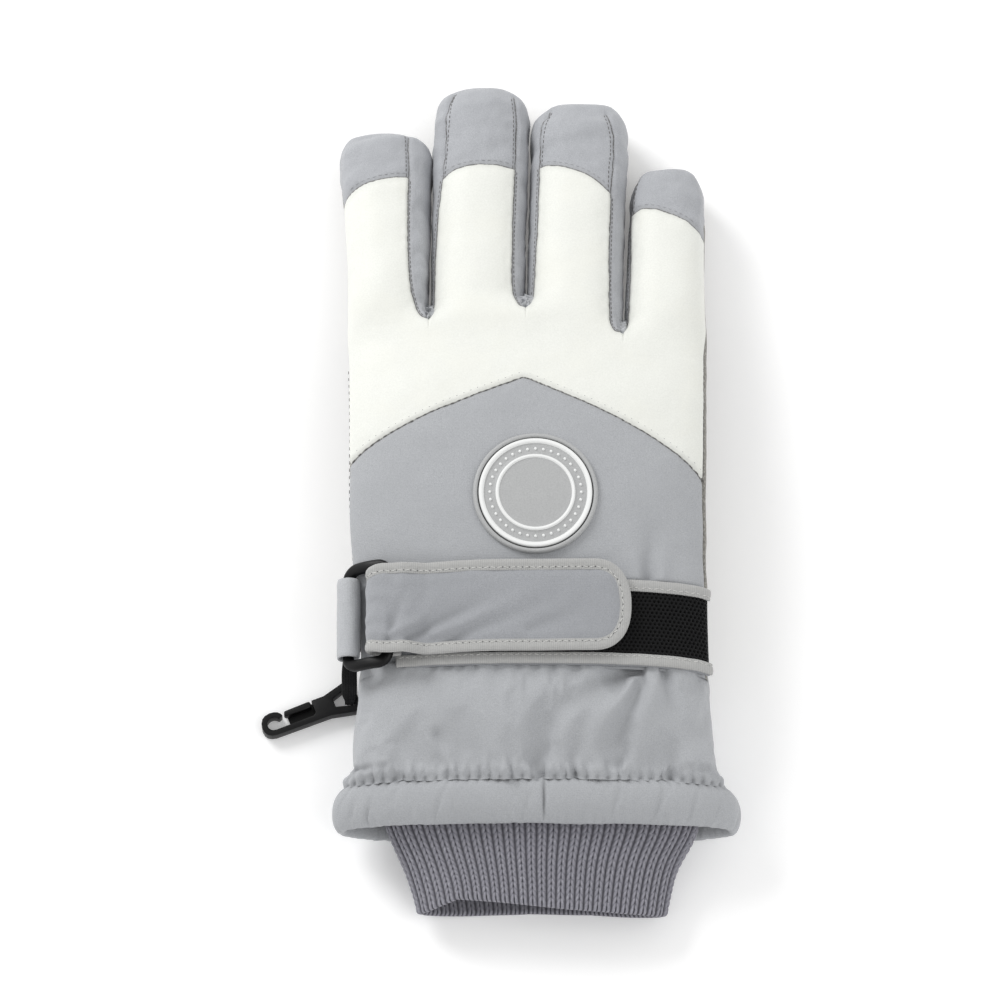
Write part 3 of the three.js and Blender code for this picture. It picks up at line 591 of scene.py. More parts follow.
M_SHELL = mat_shell("Softshell_panels", C_GREY)
M_FING = mat_shell("Softshell_fingers", C_CAP)
M_GAUNT = mat_fabric("Gauntlet_softshell", (175, 177, 180))
M_FLAP = mat_fabric("Flap_softshell", (158, 160, 164))
M_TAB = mat_fabric("Tab_softshell", (183, 185, 188))
M_BIND = mat_binding()
M_TDARK = mat_thread("Thread_dark", (88, 87, 86), (118, 116, 114))
M_TGREY = mat_thread("Thread_grey", (134, 135, 138), (160, 161, 164))
M_TWHITE = mat_thread("Thread_white", (196, 196, 193), (222, 222, 219))
# dark capsules standing for needle holes: painted shade
M_HOLE_SHADE = mat_thread("Needle_hole_shade", (40, 40, 42), (58, 58, 60))
M_KNIT = mat_knit()
M_PILE = mat_pile()
M_WEB = mat_web()
M_PLAS = mat_plastic("Black_plastic")
M_BADGE = mat_badge()
M_FLEECE = mat_fleece()

# ------------------------------------------------------------------ sewing on a finished surface
def caster(V, F):
    tree = BVHTree.FromPolygons([tuple(p) for p in V], [tuple(int(i) for i in f if i >= 0) for f in F])
    def cast(x, y, z0=90.0):
        h = tree.ray_cast((float(x), float(y), z0), (0, 0, -1))
        if h[0] is None:
            return None
        n = np.array(h[1])
        return np.array(h[0]), (n if n[2] > 0 else -n)
    return cast

def sew(m, cast, line, offset, pitch, length, r, mat, side=1, holes=None, zig=0.0, lift=0.05, minz=None):
    """Row of thread stitches along a line (seen from above), offset to one side."""
    L = resample(line, 0.25)
    T = np.gradient(L, axis=0)
    T /= np.maximum(np.linalg.norm(T, axis=1), 1e-9)[:, None]
    Nn = np.stack([-T[:, 1], T[:, 0]], -1) * side
    Q = L + Nn * offset
    step = int(round(pitch / 0.25))
    half = length / 2
    for c, i in enumerate(range(step // 2, len(Q) - step // 2, step)):
        t = T[i].copy()
        if zig:
            a = zig if c % 2 else -zig
            t = np.array([t[0] * math.cos(a) - t[1] * math.sin(a), t[0] * math.sin(a) + t[1] * math.cos(a)])
        a, b = cast(*(Q[i] - t * half)), cast(*(Q[i] + t * half))
        if a is None or b is None or abs(a[0][2] - b[0][2]) > length * 1.6:
            continue
        if minz is not None and min(a[0][2], b[0][2]) < minz:
            continue
        n = a[1] + b[1]
        n /= np.linalg.norm(n)
        capsule(m, a[0] + n * lift, b[0] + n * lift, r, mat, up=n, flat=0.75, n=6)
        if holes is not None:
            h = cast(*(Q[i] + T[i] * pitch / 2))
            if h is not None:
                capsule(m, h[0] - T3(T[i]) * 0.16 + h[1] * 0.0, h[0] + T3(T[i]) * 0.16 + h[1] * 0.0, 0.17, holes, up=h[1], flat=0.6, n=5)

def T3(t):
    return np.array([t[0], t[1], 0.0])

# ------------------------------------------------------------------ hand
FOLDS_HAND = [([(39.6, -41), (39.9, -36), (40.6, -30), (41.5, -24)], -1.5, 2.1), ([(43.8, -41), (44.2, -36), (45, -29)], 0.8, 2.2), ([(35.6, -41), (35.2, -35), (34.4, -29)], 0.7, 2.2),
              ([(22, -38), (27, -34), (31, -29)], -0.35, 3.0)]

def fold_disp(P, folds, gain=1.0):
    out = 0
    for L, depth, width in folds:
        L = smooth_line(L, 5)
        d = pdist(P[..., :2], L)
        s0 = np.hypot(P[..., 0] - L[0, 0], P[..., 1] - L[0, 1])
        total = np.linalg.norm(np.diff(L, axis=0), axis=1).sum()
        out = out + gain * depth * np.exp(-(d / (width * (0.75 + 0.9 * np.clip(s0 / total, 0, 1)))) ** 2) * (1 - 0.75 * np.clip(s0 / total, 0, 1))
    return out

def hand_piece():
    ys = np.concatenate([[42.6, 41.3], np.arange(40.0, -72.01, -0.66 * RES)])
    ph = np.concatenate([np.linspace(-10, 190, int(230 / RES), endpoint=False), np.linspace(190, 350, int(80 / RES), endpoint=False)])
    Y, A = np.meshgrid(ys, ph, indexing="ij")
    X, Z = oval(sec(HAND, Y), A)
    P = np.stack([X, Y, Z], -1)
    N = outward(P)
    sr, sl = oval(sec(HAND, Y), 11.0)[1], oval(sec(HAND, Y), 177.5)[1]
    zw, zp, zs = zones(P, np.where(X > 0, sr, sl))
    N0 = N.copy()
    disp = skin(P, N, zw, zp, zs)
    top = sm(1, -3, zp)
    disp = disp + fold_disp(P, FOLDS_HAND, 1.5) * top
    disp = disp - 0.35 * sm(40.2, 41.0, Y)
    # the strap's band presses the hand in a little
    band = sm(-40.3, -43.0, Y)
    disp = disp * (1 - band) - 0.55 * band
    P = floor_press(P + N * disp[..., None])
    m = Mesh("hand_shell")
    rest = P.copy()
    m.grid(P, True, False, False, 0, rest=rest, zw=zw, zp=zp, zs=zs)
    cast = caster(m.V[0], m.F[0])
    sew(m, cast, CHEV[2:-2], 0.05, 2.5, 1.25, 0.17, 1, lift=0.12)
    sew(m, cast, CHEV[2:-2], 1.9, 2.5, 0.5, 0.10, 2, side=1, lift=-0.02)
    # thread down the little-finger and thumb side seams
    for sgn, deg in ((1, 13.0), (-1, 175.5)):
        for yy in np.arange(38, -40, -2.6):
            q = []
            for y2 in (yy, yy - 1.3):
                x, z = oval(sec(HAND, np.array(y2), -0.45), deg)
                q.append([float(x), y2, float(z)])
            capsule(m, q[0], q[1], 0.16, 1, up=np.array([sgn, 0, 0.3]), flat=0.8, n=5)
    o = m.build([M_SHELL, M_TDARK, M_TGREY])
    return piece(o, "hand", ("back_panel_lower", "back_panel_upper", "palm_panel"))

hand = hand_piece()

# ------------------------------------------------------------------ fingers
def hang(x, y):
    """The hand section's own angle at which its back passes over x."""
    cx, a, cz, b = sec(HAND, y)
    c = np.clip(np.abs(x - cx) / a, 0, .9999) ** 1.2 * np.sign(x - cx)
    return np.degrees(np.arccos(c))

def finger_piece(name):
    f = FING[name]
    xl, xr = BORDER[name]
    cl, cr = CROTCH[name]
    tip = f["tip"]
    k = 0.70 * RES
    body = np.arange(40.0, tip - 13, k)
    end = tip - 13 * (1 - np.sin(np.linspace(0, 1, int(26 / RES)) * np.pi / 2))
    end[-1] = tip - 0.001
    ys = np.concatenate([body, end])
    # more columns on the back than on the palm side
    n1, n2, n3 = int(56 / RES), int(34 / RES), int(36 / RES)
    ph = np.concatenate([np.linspace(-45, 45, n2, endpoint=False), np.linspace(45, 135, n1, endpoint=False), np.linspace(135, 225, n2, endpoint=False), np.linspace(225, 315, n3, endpoint=False)])
    Y, A = np.meshgrid(ys, ph, indexing="ij")
    a360 = np.mod(A + 360, 360)
    aR = np.where(a360 > 180, a360 - 360, a360)        # -180..180
    # a slab of the hand between its borders
    u = np.clip((a360 - 45) / 90, 0, 1)
    topx = xr + (xl - xr) * u
    zt_ = lambda x: ztop(HAND, x, Y)
    zb_ = lambda x: ztop(HAND, x, Y, side=-1)
    SX = np.zeros_like(Y)
    SZ = np.zeros_like(Y)
    if name == "index":
        h = hang(np.full_like(Y, xr), Y)
        t = np.clip((a360 - 45) / 270, 0, 1)
        hx, hz = oval(sec(HAND, Y), h + t * (360 - 2 * h))
        wall = (a360 < 45) | (a360 > 315)
        v = (aR + 45) / 90
        SX = np.where(wall, xr, hx)
        SZ = np.where(wall, zb_(xr + 0 * Y) + (zt_(xr + 0 * Y) - zb_(xr + 0 * Y)) * np.clip(v, 0, 1), hz)
    elif name == "pinky":
        h = hang(np.full_like(Y, xl), Y)
        t = np.clip((aR + 135) / 270, 0, 1)
        hx, hz = oval(sec(HAND, Y), -h + t * 2 * h)
        wall = (a360 > 135) & (a360 < 225)
        v = (225 - a360) / 90
        SX = np.where(wall, xl, hx)
        SZ = np.where(wall, zb_(xl + 0 * Y) + (zt_(xl + 0 * Y) - zb_(xl + 0 * Y)) * np.clip(v, 0, 1), hz)
    else:
        q = [(a360 >= 45) & (a360 <= 135), (a360 > 135) & (a360 < 225), (a360 >= 225) & (a360 <= 315)]
        u2 = np.clip((a360 - 225) / 90, 0, 1)
        bx = xl + (xr - xl) * u2
        SX = np.where(q[0], topx, np.where(q[1], xl, np.where(q[2], bx, xr)))
        vl = np.clip((225 - a360) / 90, 0, 1)
        vr = np.clip((aR + 45) / 90, 0, 1)
        SZ = np.where(q[0], zt_(topx), np.where(q[1], zb_(xl + 0 * Y) + (zt_(xl + 0 * Y) - zb_(xl + 0 * Y)) * vl, np.where(q[2], zb_(bx), zb_(xr + 0 * Y) + (zt_(xr + 0 * Y) - zb_(xr + 0 * Y)) * vr)))
    FX, FZ = oval(fsec(name, Y), A)
    wl = sm(40, 64, Y) if cl is None else sm(cl - 3.6, cl + 7.5, Y)
    wr = sm(40, 64, Y) if cr is None else sm(cr - 3.6, cr + 7.5, Y)
    mixr = sm(-0.75, 0.75, np.cos(np.radians(A)))
    w = wl * (1 - mixr) + wr * mixr
    P = np.stack([SX * (1 - w) + FX * w, Y, SZ * (1 - w) + FZ * w], -1)
    N = outward(P)
    N[-1] = np.array([0, 1.0, 0])
    # where the back is still one sheet the hand's own normal holds
    cxh, ah, czh, bh = sec(HAND, Y)
    NH = np.stack([spow((P[..., 0] - cxh) / ah, 1.4) / ah, 0 * Y, spow((P[..., 2] - czh) / bh, 1.4) / bh], -1)
    NH /= np.maximum(np.linalg.norm(NH, axis=-1, keepdims=True), 1e-9)
    one = (1 - sm(0.0, 0.5, w))[..., None] * (((a360 >= 44.9) & (a360 <= 135.1)) | ((a360 >= 224.9) & (a360 <= 315.1)))[..., None]
    N = N * (1 - one) + NH * one
    N /= np.maximum(np.linalg.norm(N, axis=-1, keepdims=True), 1e-9)
    s0 = fsec(name, Y)
    seam_l, seam_r = oval(s0, 177.5)[1], oval(s0, 11.0)[1]
    hl, hr = oval(sec(HAND, Y), 177.5)[1], oval(sec(HAND, Y), 11.0)[1]
    low = s0[2] - 0.25 * s0[3]
    left_outer, right_outer = name == "index", name == "pinky"
    zl = (hl * (1 - w) + seam_l * w) if left_outer else low
    zr = (hr * (1 - w) + seam_r * w) if right_outer else low
    zl = zl if not left_outer else zl * sm(tip - 16, tip - 24, Y) + low * (1 - sm(tip - 16, tip - 24, Y))
    zr = zr if not right_outer else zr * sm(tip - 16, tip - 24, Y) + low * (1 - sm(tip - 16, tip - 24, Y))
    zw, zp, zs = zones(P, np.where(P[..., 0] < s0[0], zl, zr), name)
    # inner walls before the crotch are neither palm nor white
    disp = skin(P, N, zw, zp, zs)
    # gusset creases and tip wrinkles
    gus = sm(0.4, 2.5, -zw) * sm(1.0, -2.0, zp) * sm(50, 62, Y)
    cr_n = noise(P * np.array([0.10, 0.17, 0.14]), 1.0, 31.0 + len(name))
    disp = disp + gus * (0.85 * cr_n + 0.26 * noise(P, 0.28, 4.0 + len(name)))
    for c0 in ((BORDER[name][0], cl), (BORDER[name][1], cr)):
        if c0[1] is not None:
            rr = np.hypot((P[..., 0] - c0[0]) / 3.6, (P[..., 1] - c0[1] - 4.0) / 5.2)
            disp = disp + np.exp(-rr ** 2) * sm(0.2, 1.2, -zw) * (ridged(P * np.array([0.34, 0.26, 0.2]), 1.0, 5.0) * 1.3 - 0.7)
    side = sm(0.75, 0.98, np.abs(np.cos(np.radians(A)))) * sm(50, 60, Y)
    disp = disp * (1 - 0.55 * side)
    disp = disp + 0.75 * noise(P, 1 / 10.0, 17.0 + 3 * len(name)) * sm(tip - 36, tip - 16, Y)
    tipk = sm(tip - 0.7, tip - 4.5, Y)
    disp = disp * tipk + 0.35 * (1 - tipk) * 0
    # under the fabric the finger sags a touch between its joints
    disp = disp - 0.35 * np.exp(-((Y - (46 + 0.42 * (tip - 46))) / 8.0) ** 2) * sm(0.2, 0.9, np.sin(np.radians(A)))
    P = P + N * disp[..., None]
    P = floor_press(P)
    m = Mesh("finger_" + name)
    m.grid(P, True, False, True, 0, rest=P.copy(), zw=zw, zp=zp, zs=zs)
    F4 = m.F[0]
    row, colm = F4[:, 0] // len(ph), F4[:, 0] % len(ph)
    drop = np.zeros(len(F4), bool)
    if cr is not None:
        drop |= (ys[row] < cr - 4.4) & (colm < n2)
    if cl is not None:
        drop |= (ys[row] < cl - 4.4) & (colm >= n2 + n1) & (colm < n2 + n1 + n2)
    F4 = F4[~drop]
    m.F[0], m.M[0] = F4, m.M[0][~drop]
    cast = caster(m.V[0], F4)
    cap = S(CAPS[name])
    sew(m, cast, cap, 1.35, 1.9, 1.15, 0.115, 2, side=1 if cap[-1, 0] > cap[0, 0] else -1, lift=0.02, minz=8)
    for L, sd in ((SEAM_L.get(name), 1), (SEAM_R.get(name), -1)):
        if L is not None:
            sew(m, cast, S(L), 0.55, 1.75, 1.15, 0.13, 1, side=sd, lift=0.02, minz=8)
    for key, L in TIPS[name].items():
        if len(L):
            sew(m, cast, S(L), 0.9, 1.7, 1.15, 0.15, 1, side=-1 if key == "l" else 1, lift=0.05, minz=6)
    o = m.build([M_FING, M_TDARK, M_TGREY])
    nodes = [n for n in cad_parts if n.startswith(name + "_")]
    start = {"index": 52.5, "middle": 54.0, "ring": 50.0, "pinky": 47.5}[name]
    c = (xl + xr) / 2
    return piece(o, None, nodes, blend=("hand", name + "_finger", (c, start, 22), (c, start + 20, 22)))

fingers = {n: finger_piece(n) for n in FING}

# bunched folds where two fingers meet
def crotch_fold(name, x, y, seed):
    u = np.linspace(-1, 1, 26)
    v = np.linspace(0, 1, 30)
    V_, U_ = np.meshgrid(v, u, indexing="ij")
    yy = y - 0.4 + 8.4 * V_
    half = 2.9 * np.sqrt(np.clip((V_ + 0.02) / 0.25, 0, 1))
    xx = x + U_ * half
    z0 = ztop(HAND, np.full_like(xx, x), np.minimum(yy, 52))
    zz = z0 - 1.5 - 8.5 * V_ ** 1.3 - 0.9 * U_ ** 2
    P = np.stack([xx, yy, zz], -1)
    cr = ridged(P * np.array([0.40, 0.26, 0.2]), 1.0, seed) + noise(P, 0.7, seed + 3) * 0.3
    P[..., 2] += (cr - 0.55) * 1.9 * sm(0, 0.12, V_)
    P[..., 0] += noise(P, 0.4, seed + 8) * 0.8
    m = Mesh(name)
    k = np.full(P.shape[:2], 0.0)
    m.grid(P, False, rest=P.copy(), fold=k)
    Q = P.copy()
    Q[..., 2] -= 0.7
    m.grid(Q, False, flip=True, rest=Q.copy(), fold=k)
    rim = np.concatenate([P[0, :], P[1:, -1], P[-1, -2::-1], P[-2:0:-1, 0]])
    rim2 = rim - np.array([0, 0, 0.7])
    m.grid(np.stack([rim, rim2]), True, rest=np.stack([rim, rim2]), fold=np.zeros((2, len(rim))))
    o = m.build([M_TAB])
    return piece(o, "hand")

for nm, x, y, sd in (("crotch_fold_index_middle", -34.5, 54.7, 3.0), ("crotch_fold_middle_ring", -1.6, 58.3, 12.0), ("crotch_fold_ring_pinky", 30.6, 49.3, 21.0)):
    crotch_fold(nm, x, y, sd)

# ------------------------------------------------------------------ thumb, folded under the palm
def thumb_piece():
    base = np.array([-45.0, -26.0])
    d = np.array([0.544, 0.839])
    e = np.array([0.839, -0.544])
    T = [[-15, 5.0, 22.0, 18.0], [-11, 8.5, 19.0, 12.8], [-4, 11.8, 15.2, 6.0], [3, 13.3, 14.0, 2.8], [14, 14, 13.9, 1.2], [40, 14.6, 13.2, .15], [66, 13.6, 11.4, .15]]
    s = np.concatenate([np.linspace(-15, 52, int(67 / RES)), 66 - 14 * (1 - np.sin(np.linspace(0, 1, 20) * np.pi / 2))[1:]])
    s[-1] = 65.999
    ph = np.linspace(0, 360, int(110 / RES), endpoint=False)
    Sg, A = np.meshgrid(s, ph, indexing="ij")
    w, zt, zb = tab(T, Sg)
    t = np.clip((Sg - 52) / 14, 0, 1)
    k = np.maximum(1 - t**2.5, 0) ** .4
    v, z = oval((0 * Sg, w * k, (zt + zb) / 2, (zt - zb) / 2 * k**.8), A)
    P = np.stack([base[0] + d[0] * Sg + e[0] * v, base[1] + d[1] * Sg + e[1] * v, z], -1)
    N = outward(P)
    N[-1] = [d[0], d[1], 0]
    seam = np.exp(-((Sg - 44) / 0.7) ** 2)
    mid = (zt + zb) / 2
    side = np.exp(-((z - mid) / 0.8) ** 2)
    disp = -0.5 * seam - 0.4 * side + 0.35 * fbm(P, 1 / 12.0, 8.0, 2) + 0.3 * noise(P * np.array([0.2, 0.2, 0.1]), 1.0, 3)
    disp = disp * sm(66, 62, Sg)
    P = P + N * disp[..., None]
    P[..., 2] = np.minimum(P[..., 2], 14.3 + 12 * sm(6, -6, Sg))
    P = floor_press(P)
    m = Mesh("thumb")
    m.grid(P, True, True, True, 0, rest=P.copy(), zw=np.full(P.shape[:2], -9.0), zp=mid - z + 0 * v, zs=np.abs(Sg - 44))
    o = m.build([M_FING])
    return piece(o, None, ("thumb_back", "thumb_palm", "thumb_cap", "thumb_liner"), blend=("hand", "thumb", (-48.5, -31.5, 9), (-38, -15.2, 9)))

thumb = thumb_piece()

# ------------------------------------------------------------------ gauntlet
FOLDS_G = [([(33, -71), (22, -78), (11, -85), (5, -93), (2, -102)], -1.9, 3.2), ([(34, -73), (27, -79), (18, -87), (11, -95)], 1.3, 2.6), ([(35, -70), (29, -78), (20, -86), (15, -97)], -2.2, 2.7),
           ([(36, -74), (31, -82), (25, -90), (20, -99)], 1.2, 2.6), ([(37, -70), (36, -79), (31, -90), (25, -101)], -1.6, 2.6), ([(41, -71), (41, -79), (38, -88)], 1.1, 2.6), ([(44.4, -71), (46, -77), (47.5, -84)], -1.7, 2.0),
           ([(36.2, -68), (35.8, -71.5), (35.2, -74.5)], -0.9, 1.4), ([(3.4, -107), (2.2, -102), (4.6, -98)], -1.5, 1.5), ([(29, -103), (31, -99), (30, -95)], -1.0, 2.2),
           ([(15, -107), (14, -102), (16, -97)], -1.1, 1.7), ([(46, -106), (47, -100), (50, -92)], -1.2, 3.2), ([(-44, -107), (-43, -101), (-41, -96)], -0.8, 2.3), ([(-31, -94), (-29, -99), (-27, -104)], -0.7, 2.2),
           ([(60, -84), (57, -92), (52, -98)], -0.8, 3.2), ([(-54, -84), (-50, -90), (-44, -94)], -0.5, 3.5), ([(22, -107), (23, -103), (21, -98)], 0.7, 2.0), ([(-10, -107), (-9, -102), (-11, -98)], 0.7, 2.2)]

def cloth_puff(P, growth, frames, cap, pin_rows=1, pressure=3.0):
    """Lets a ring of cloth, sewn at both ends, swell and gather; returns the moved grid."""
    n, m_ = P.shape[:2]
    g = Mesh("puff")
    g.grid(P, True)
    o = g.build([])
    vg = o.vertex_groups.new(name="pin")
    idx = [int(i) for r in list(range(pin_rows)) + list(range(n - pin_rows, n)) for i in range(r * m_, (r + 1) * m_)]
    vg.add(idx, 1.0, "REPLACE")
    c = o.modifiers.new("Cloth", "CLOTH")
    st = c.settings
    st.quality = 6
    st.mass = 0.25
    st.tension_stiffness = st.compression_stiffness = 18
    st.shear_stiffness = 6
    st.bending_stiffness = 4.0
    st.tension_damping = st.compression_damping = st.shear_damping = 6
    st.air_damping = 2.0
    st.shrink_min = -growth
    st.use_pressure = True
    st.uniform_pressure_force = pressure
    st.vertex_group_mass = "pin"
    st.effector_weights.gravity = 0.0
    c.collision_settings.use_collision = False
    c.point_cache.frame_start, c.point_cache.frame_end = 1, frames
    sc = bpy.context.scene
    for fr in range(1, frames + 1):
        sc.frame_set(fr)
    dg = bpy.context.evaluated_depsgraph_get()
    me = o.evaluated_get(dg).to_mesh()
    co = np.zeros(len(me.vertices) * 3)
    me.vertices.foreach_get("co", co)
    co = co.reshape(n, m_, 3) * 1000
    co[..., 0] -= 9.85
    bpy.data.objects.remove(o)
    sc.frame_set(1)
    d = co - P
    L = np.linalg.norm(d, axis=-1, keepdims=True)
    return P + d * np.minimum(1, cap / np.maximum(L, 1e-6))

def upsample(P, r, c):
    """Cubic upsampling of a closed ring grid."""
    n, m_ = P.shape[:2]
    def cub(a, b, c_, d, t):
        return 0.5 * (2 * b + (c_ - a) * t + (2 * a - 5 * b + 4 * c_ - d) * t**2 + (3 * b - a - 3 * c_ + d) * t**3)
    T = np.arange(m_ * c) / c
    i = np.floor(T).astype(int)
    t = (T - i)[None, :, None]
    P = cub(P[:, (i - 1) % m_], P[:, i % m_], P[:, (i + 1) % m_], P[:, (i + 2) % m_], t)
    T = np.linspace(0, n - 1, (n - 1) * r + 1)
    i = np.minimum(np.floor(T).astype(int), n - 2)
    t = (T - i)[:, None, None]
    g = lambda k: P[np.clip(k, 0, n - 1)]
    return cub(g(i - 1), g(i), g(i + 1), g(i + 2), t)

def arc_param(T, y, n, start=0.0):
    """Angles that divide a section's outline evenly."""
    a = np.linspace(0, 360, 1441)
    x, z = oval([np.array(float(v)) for v in sec(T, np.array(float(y)))], a)
    s = np.concatenate([[0], np.cumsum(np.hypot(np.diff(x), np.diff(z)))])
    return np.interp((np.arange(n) / n + start) % 1.0 * s[-1], s, a), s[-1]

def gauntlet_piece():
    nph = 150
    ph, per = arc_param(HAND, -90, nph)
    ys = np.linspace(-67.0, -108.4, 24)
    Y, A = np.meshgrid(ys, ph, indexing="ij")
    X, Z = oval(sec(HAND, Y, 0.9), A)
    P = np.stack([X, Y, Z], -1)
    P = cloth_puff(P, 0.035, 26, 4.0, 1, 2.4)
    P = upsample(P, 3, 4)
    n, m_ = P.shape[:2]
    N = outward(P)
    sl = np.arange(m_) / m_ * per                     # length round the section
    ring = np.broadcast_to(sl, (n, m_))
    yb = P[..., 1]
    # gathers that run up from the hem seam
    rr = np.stack([ring, yb * 0, 0 * ring], -1)
    gath = noise(np.stack([ring * 0.21, yb * 0.035, 0 * ring], -1), 1.0, 2.0)
    gath2 = noise(np.stack([ring * 0.42, yb * 0.06, 0 * ring], -1), 1.0, 7.0)
    up = sm(-88, -107, yb)
    end = 0.2 + 0.8 * sm(-108.2, -105.8, yb)
    disp = (0.85 * gath * sm(-94, -106, yb) + 0.95 * gath2 * sm(-100, -106.0, yb)) * end
    bandg = sm(-82, -71, yb)
    disp = disp + 0.35 * gath * bandg
    # scalloped puckers at the seam
    sc = np.abs(np.sin(np.pi * (ring + 0.5 * noise(rr, 0.12, 3.0)) / 3.45))
    disp = disp + (0.9 * sc - 1.0) * np.exp(-((yb + 107.6) / 1.5) ** 2) + 0.75 * sc * np.exp(-((yb + 105.3) / 1.7) ** 2)
    topside = sm(0, 8, P[..., 2] - 20)
    fg = 3.3 * np.tanh(fold_disp(P, FOLDS_G, 2.5) / 3.3) * topside
    disp = disp + np.where(fg > 0, fg * sm(-71.0, -78.0, yb), fg)       # ridges die out before the band's edge
    disp = disp + 0.45 * fbm(P, 1 / 19.0, 6.0, 2)
    # side seams
    for deg in (9.0, 177.0):
        xs, zs = oval(sec(HAND, yb), deg)
        disp = disp - 0.7 * np.exp(-((np.hypot(P[..., 0] - xs, P[..., 2] - zs)) / 0.9) ** 2)
    disp = disp * sm(-67, -69.5, yb) - 0.3 * (1 - sm(-67, -69.5, yb))
    P = P + N * disp[..., None]
    under = sm(25, 20, P[..., 2]) * sm(-78, -71.5, yb)
    au = np.degrees(np.arctan2(0 * yb, 1)) + np.interp(np.arange(m_) / 4.0, np.arange(nph + 1), np.concatenate([ph, [ph[0] + 360]]))
    ux, uz = oval(sec(HAND, yb, -0.30), au)
    P = P * (1 - under[..., None]) + np.stack([ux, yb, uz], -1) * under[..., None]
    P = floor_press(P)
    # painted shade for the material: in the fold valleys on top, and between the puckers along the hem seam
    fold = np.clip(-(fold_disp(P, FOLDS_G) * topside) / 2.0, 0, 1) * 0.62 + np.exp(-((yb + 107.6) / 0.8) ** 2) * (1 - sc) * 0.9
    m = Mesh("gauntlet")
    m.grid(P, True, rest=P.copy(), fold=fold)
    o = m.build([M_GAUNT])
    return piece(o, "hand", ("gauntlet_back", "gauntlet_palm"))

gauntlet = gauntlet_piece()

# ------------------------------------------------------------------ rolled hem
def hem_piece():
    nph = int(560 / RES)
    ph, per = arc_param(HEM, -114, nph)
    ntube = 44
    th = np.linspace(0, 2 * np.pi, ntube, endpoint=False)
    ring = np.arange(nph) / nph * per
    rr = np.stack([ring, 0 * ring, 0 * ring], -1)
    wob = 0.7 * noise(rr, 1 / 23.0, 4.0)
    sc = np.abs(np.sin(np.pi * (ring + 0.5 * noise(rr, 0.12, 3.0)) / 3.45))
    rows = []
    fold = []
    for t in th:
        # a padded roll: outer side, lower edge, inner side, then back to the seam
        c, s_ = math.cos(t), math.sin(t)
        y = -114.4 + 7.0 * spow(c, 0.8) + 0 * ring
        d = 2.15 - 2.5 * spow(s_, 0.85) + 0 * ring         # depth below the outer surface
        outer = max(s_, 0)
        seamk = np.exp(-((y + 107.4) / 1.9) ** 2) * outer ** 0.3
        lowk = np.exp(-((y + 121.0) / 2.0) ** 2)
        y = y + wob * (1 - seamk) * sm(-109, -116, y) + 0.35 * (sc - 0.5) * seamk
        puck = (0.55 * sc - 0.5) * seamk
        low = 1.0 * noise(np.stack([ring * 0.40, 0 * ring + 3, 0 * ring], -1), 1.0, 5.0) * lowk
        lump = 0.7 * noise(np.stack([ring * 0.07, 0 * ring, 0 * ring + t * 0.3], -1), 1.0, 9.0)
        creases = -1.3 * np.maximum(0, noise(np.stack([ring * 0.34 + 0.16 * y, y * 0.05, 0 * ring], -1), 1.0, 14.0) - 0.2) * 2 * (0.35 + 0.65 * sm(-112, -120, y))
        dd = d - puck - low - lump * outer - creases * outer
        X, Z = oval(sec(HEM, np.clip(y, -121, -107), 0.0), ph)
        cx, a, cz, b = sec(HEM, np.clip(y, -121, -107), 0.0)
        X2, Z2 = oval((cx, a - dd, cz, b - dd * (1 if True else 1)), ph)
        P = np.stack([X2, y, Z2], -1)
        # the short seam that joins the hem's ends
        ds = np.abs(X2 - 4.7) + 50 * (Z2 < 18)
        g = np.exp(-(ds / 0.55) ** 2) * outer
        P[:, 2] -= 1.1 * g * np.sign(Z2 - 15)
        rows.append(P)
        # painted shade for the material: between the puckers at the seam and along the end seam's groove
        fold.append(np.clip((1 - sc) * seamk * 0.9 + g * 0.9, 0, 1))
    P = floor_press(np.array(rows), 0.03)
    m = Mesh("hem_roll")
    P = np.concatenate([P, P[:1]], 0)
    fold = np.array(fold + fold[:1])
    # closed both ways: rows wrap through shared first row
    n, m_ = P.shape[:2]
    i, j = np.meshgrid(np.arange(n - 1), np.arange(m_), indexing="ij")
    q = np.stack([i * m_ + j, i * m_ + (j + 1) % m_, ((i + 1) % (n - 1)) * m_ + (j + 1) % m_, ((i + 1) % (n - 1)) * m_ + j], -1).reshape(-1, 4)
    m.add(P[:-1].reshape(-1, 3), q, 0, rest=P[:-1].reshape(-1, 3), fold=fold[:-1].reshape(-1))
    o = m.build([M_GAUNT])
    return piece(o, "hand", ("rolled_hem",))

hem = hem_piece()

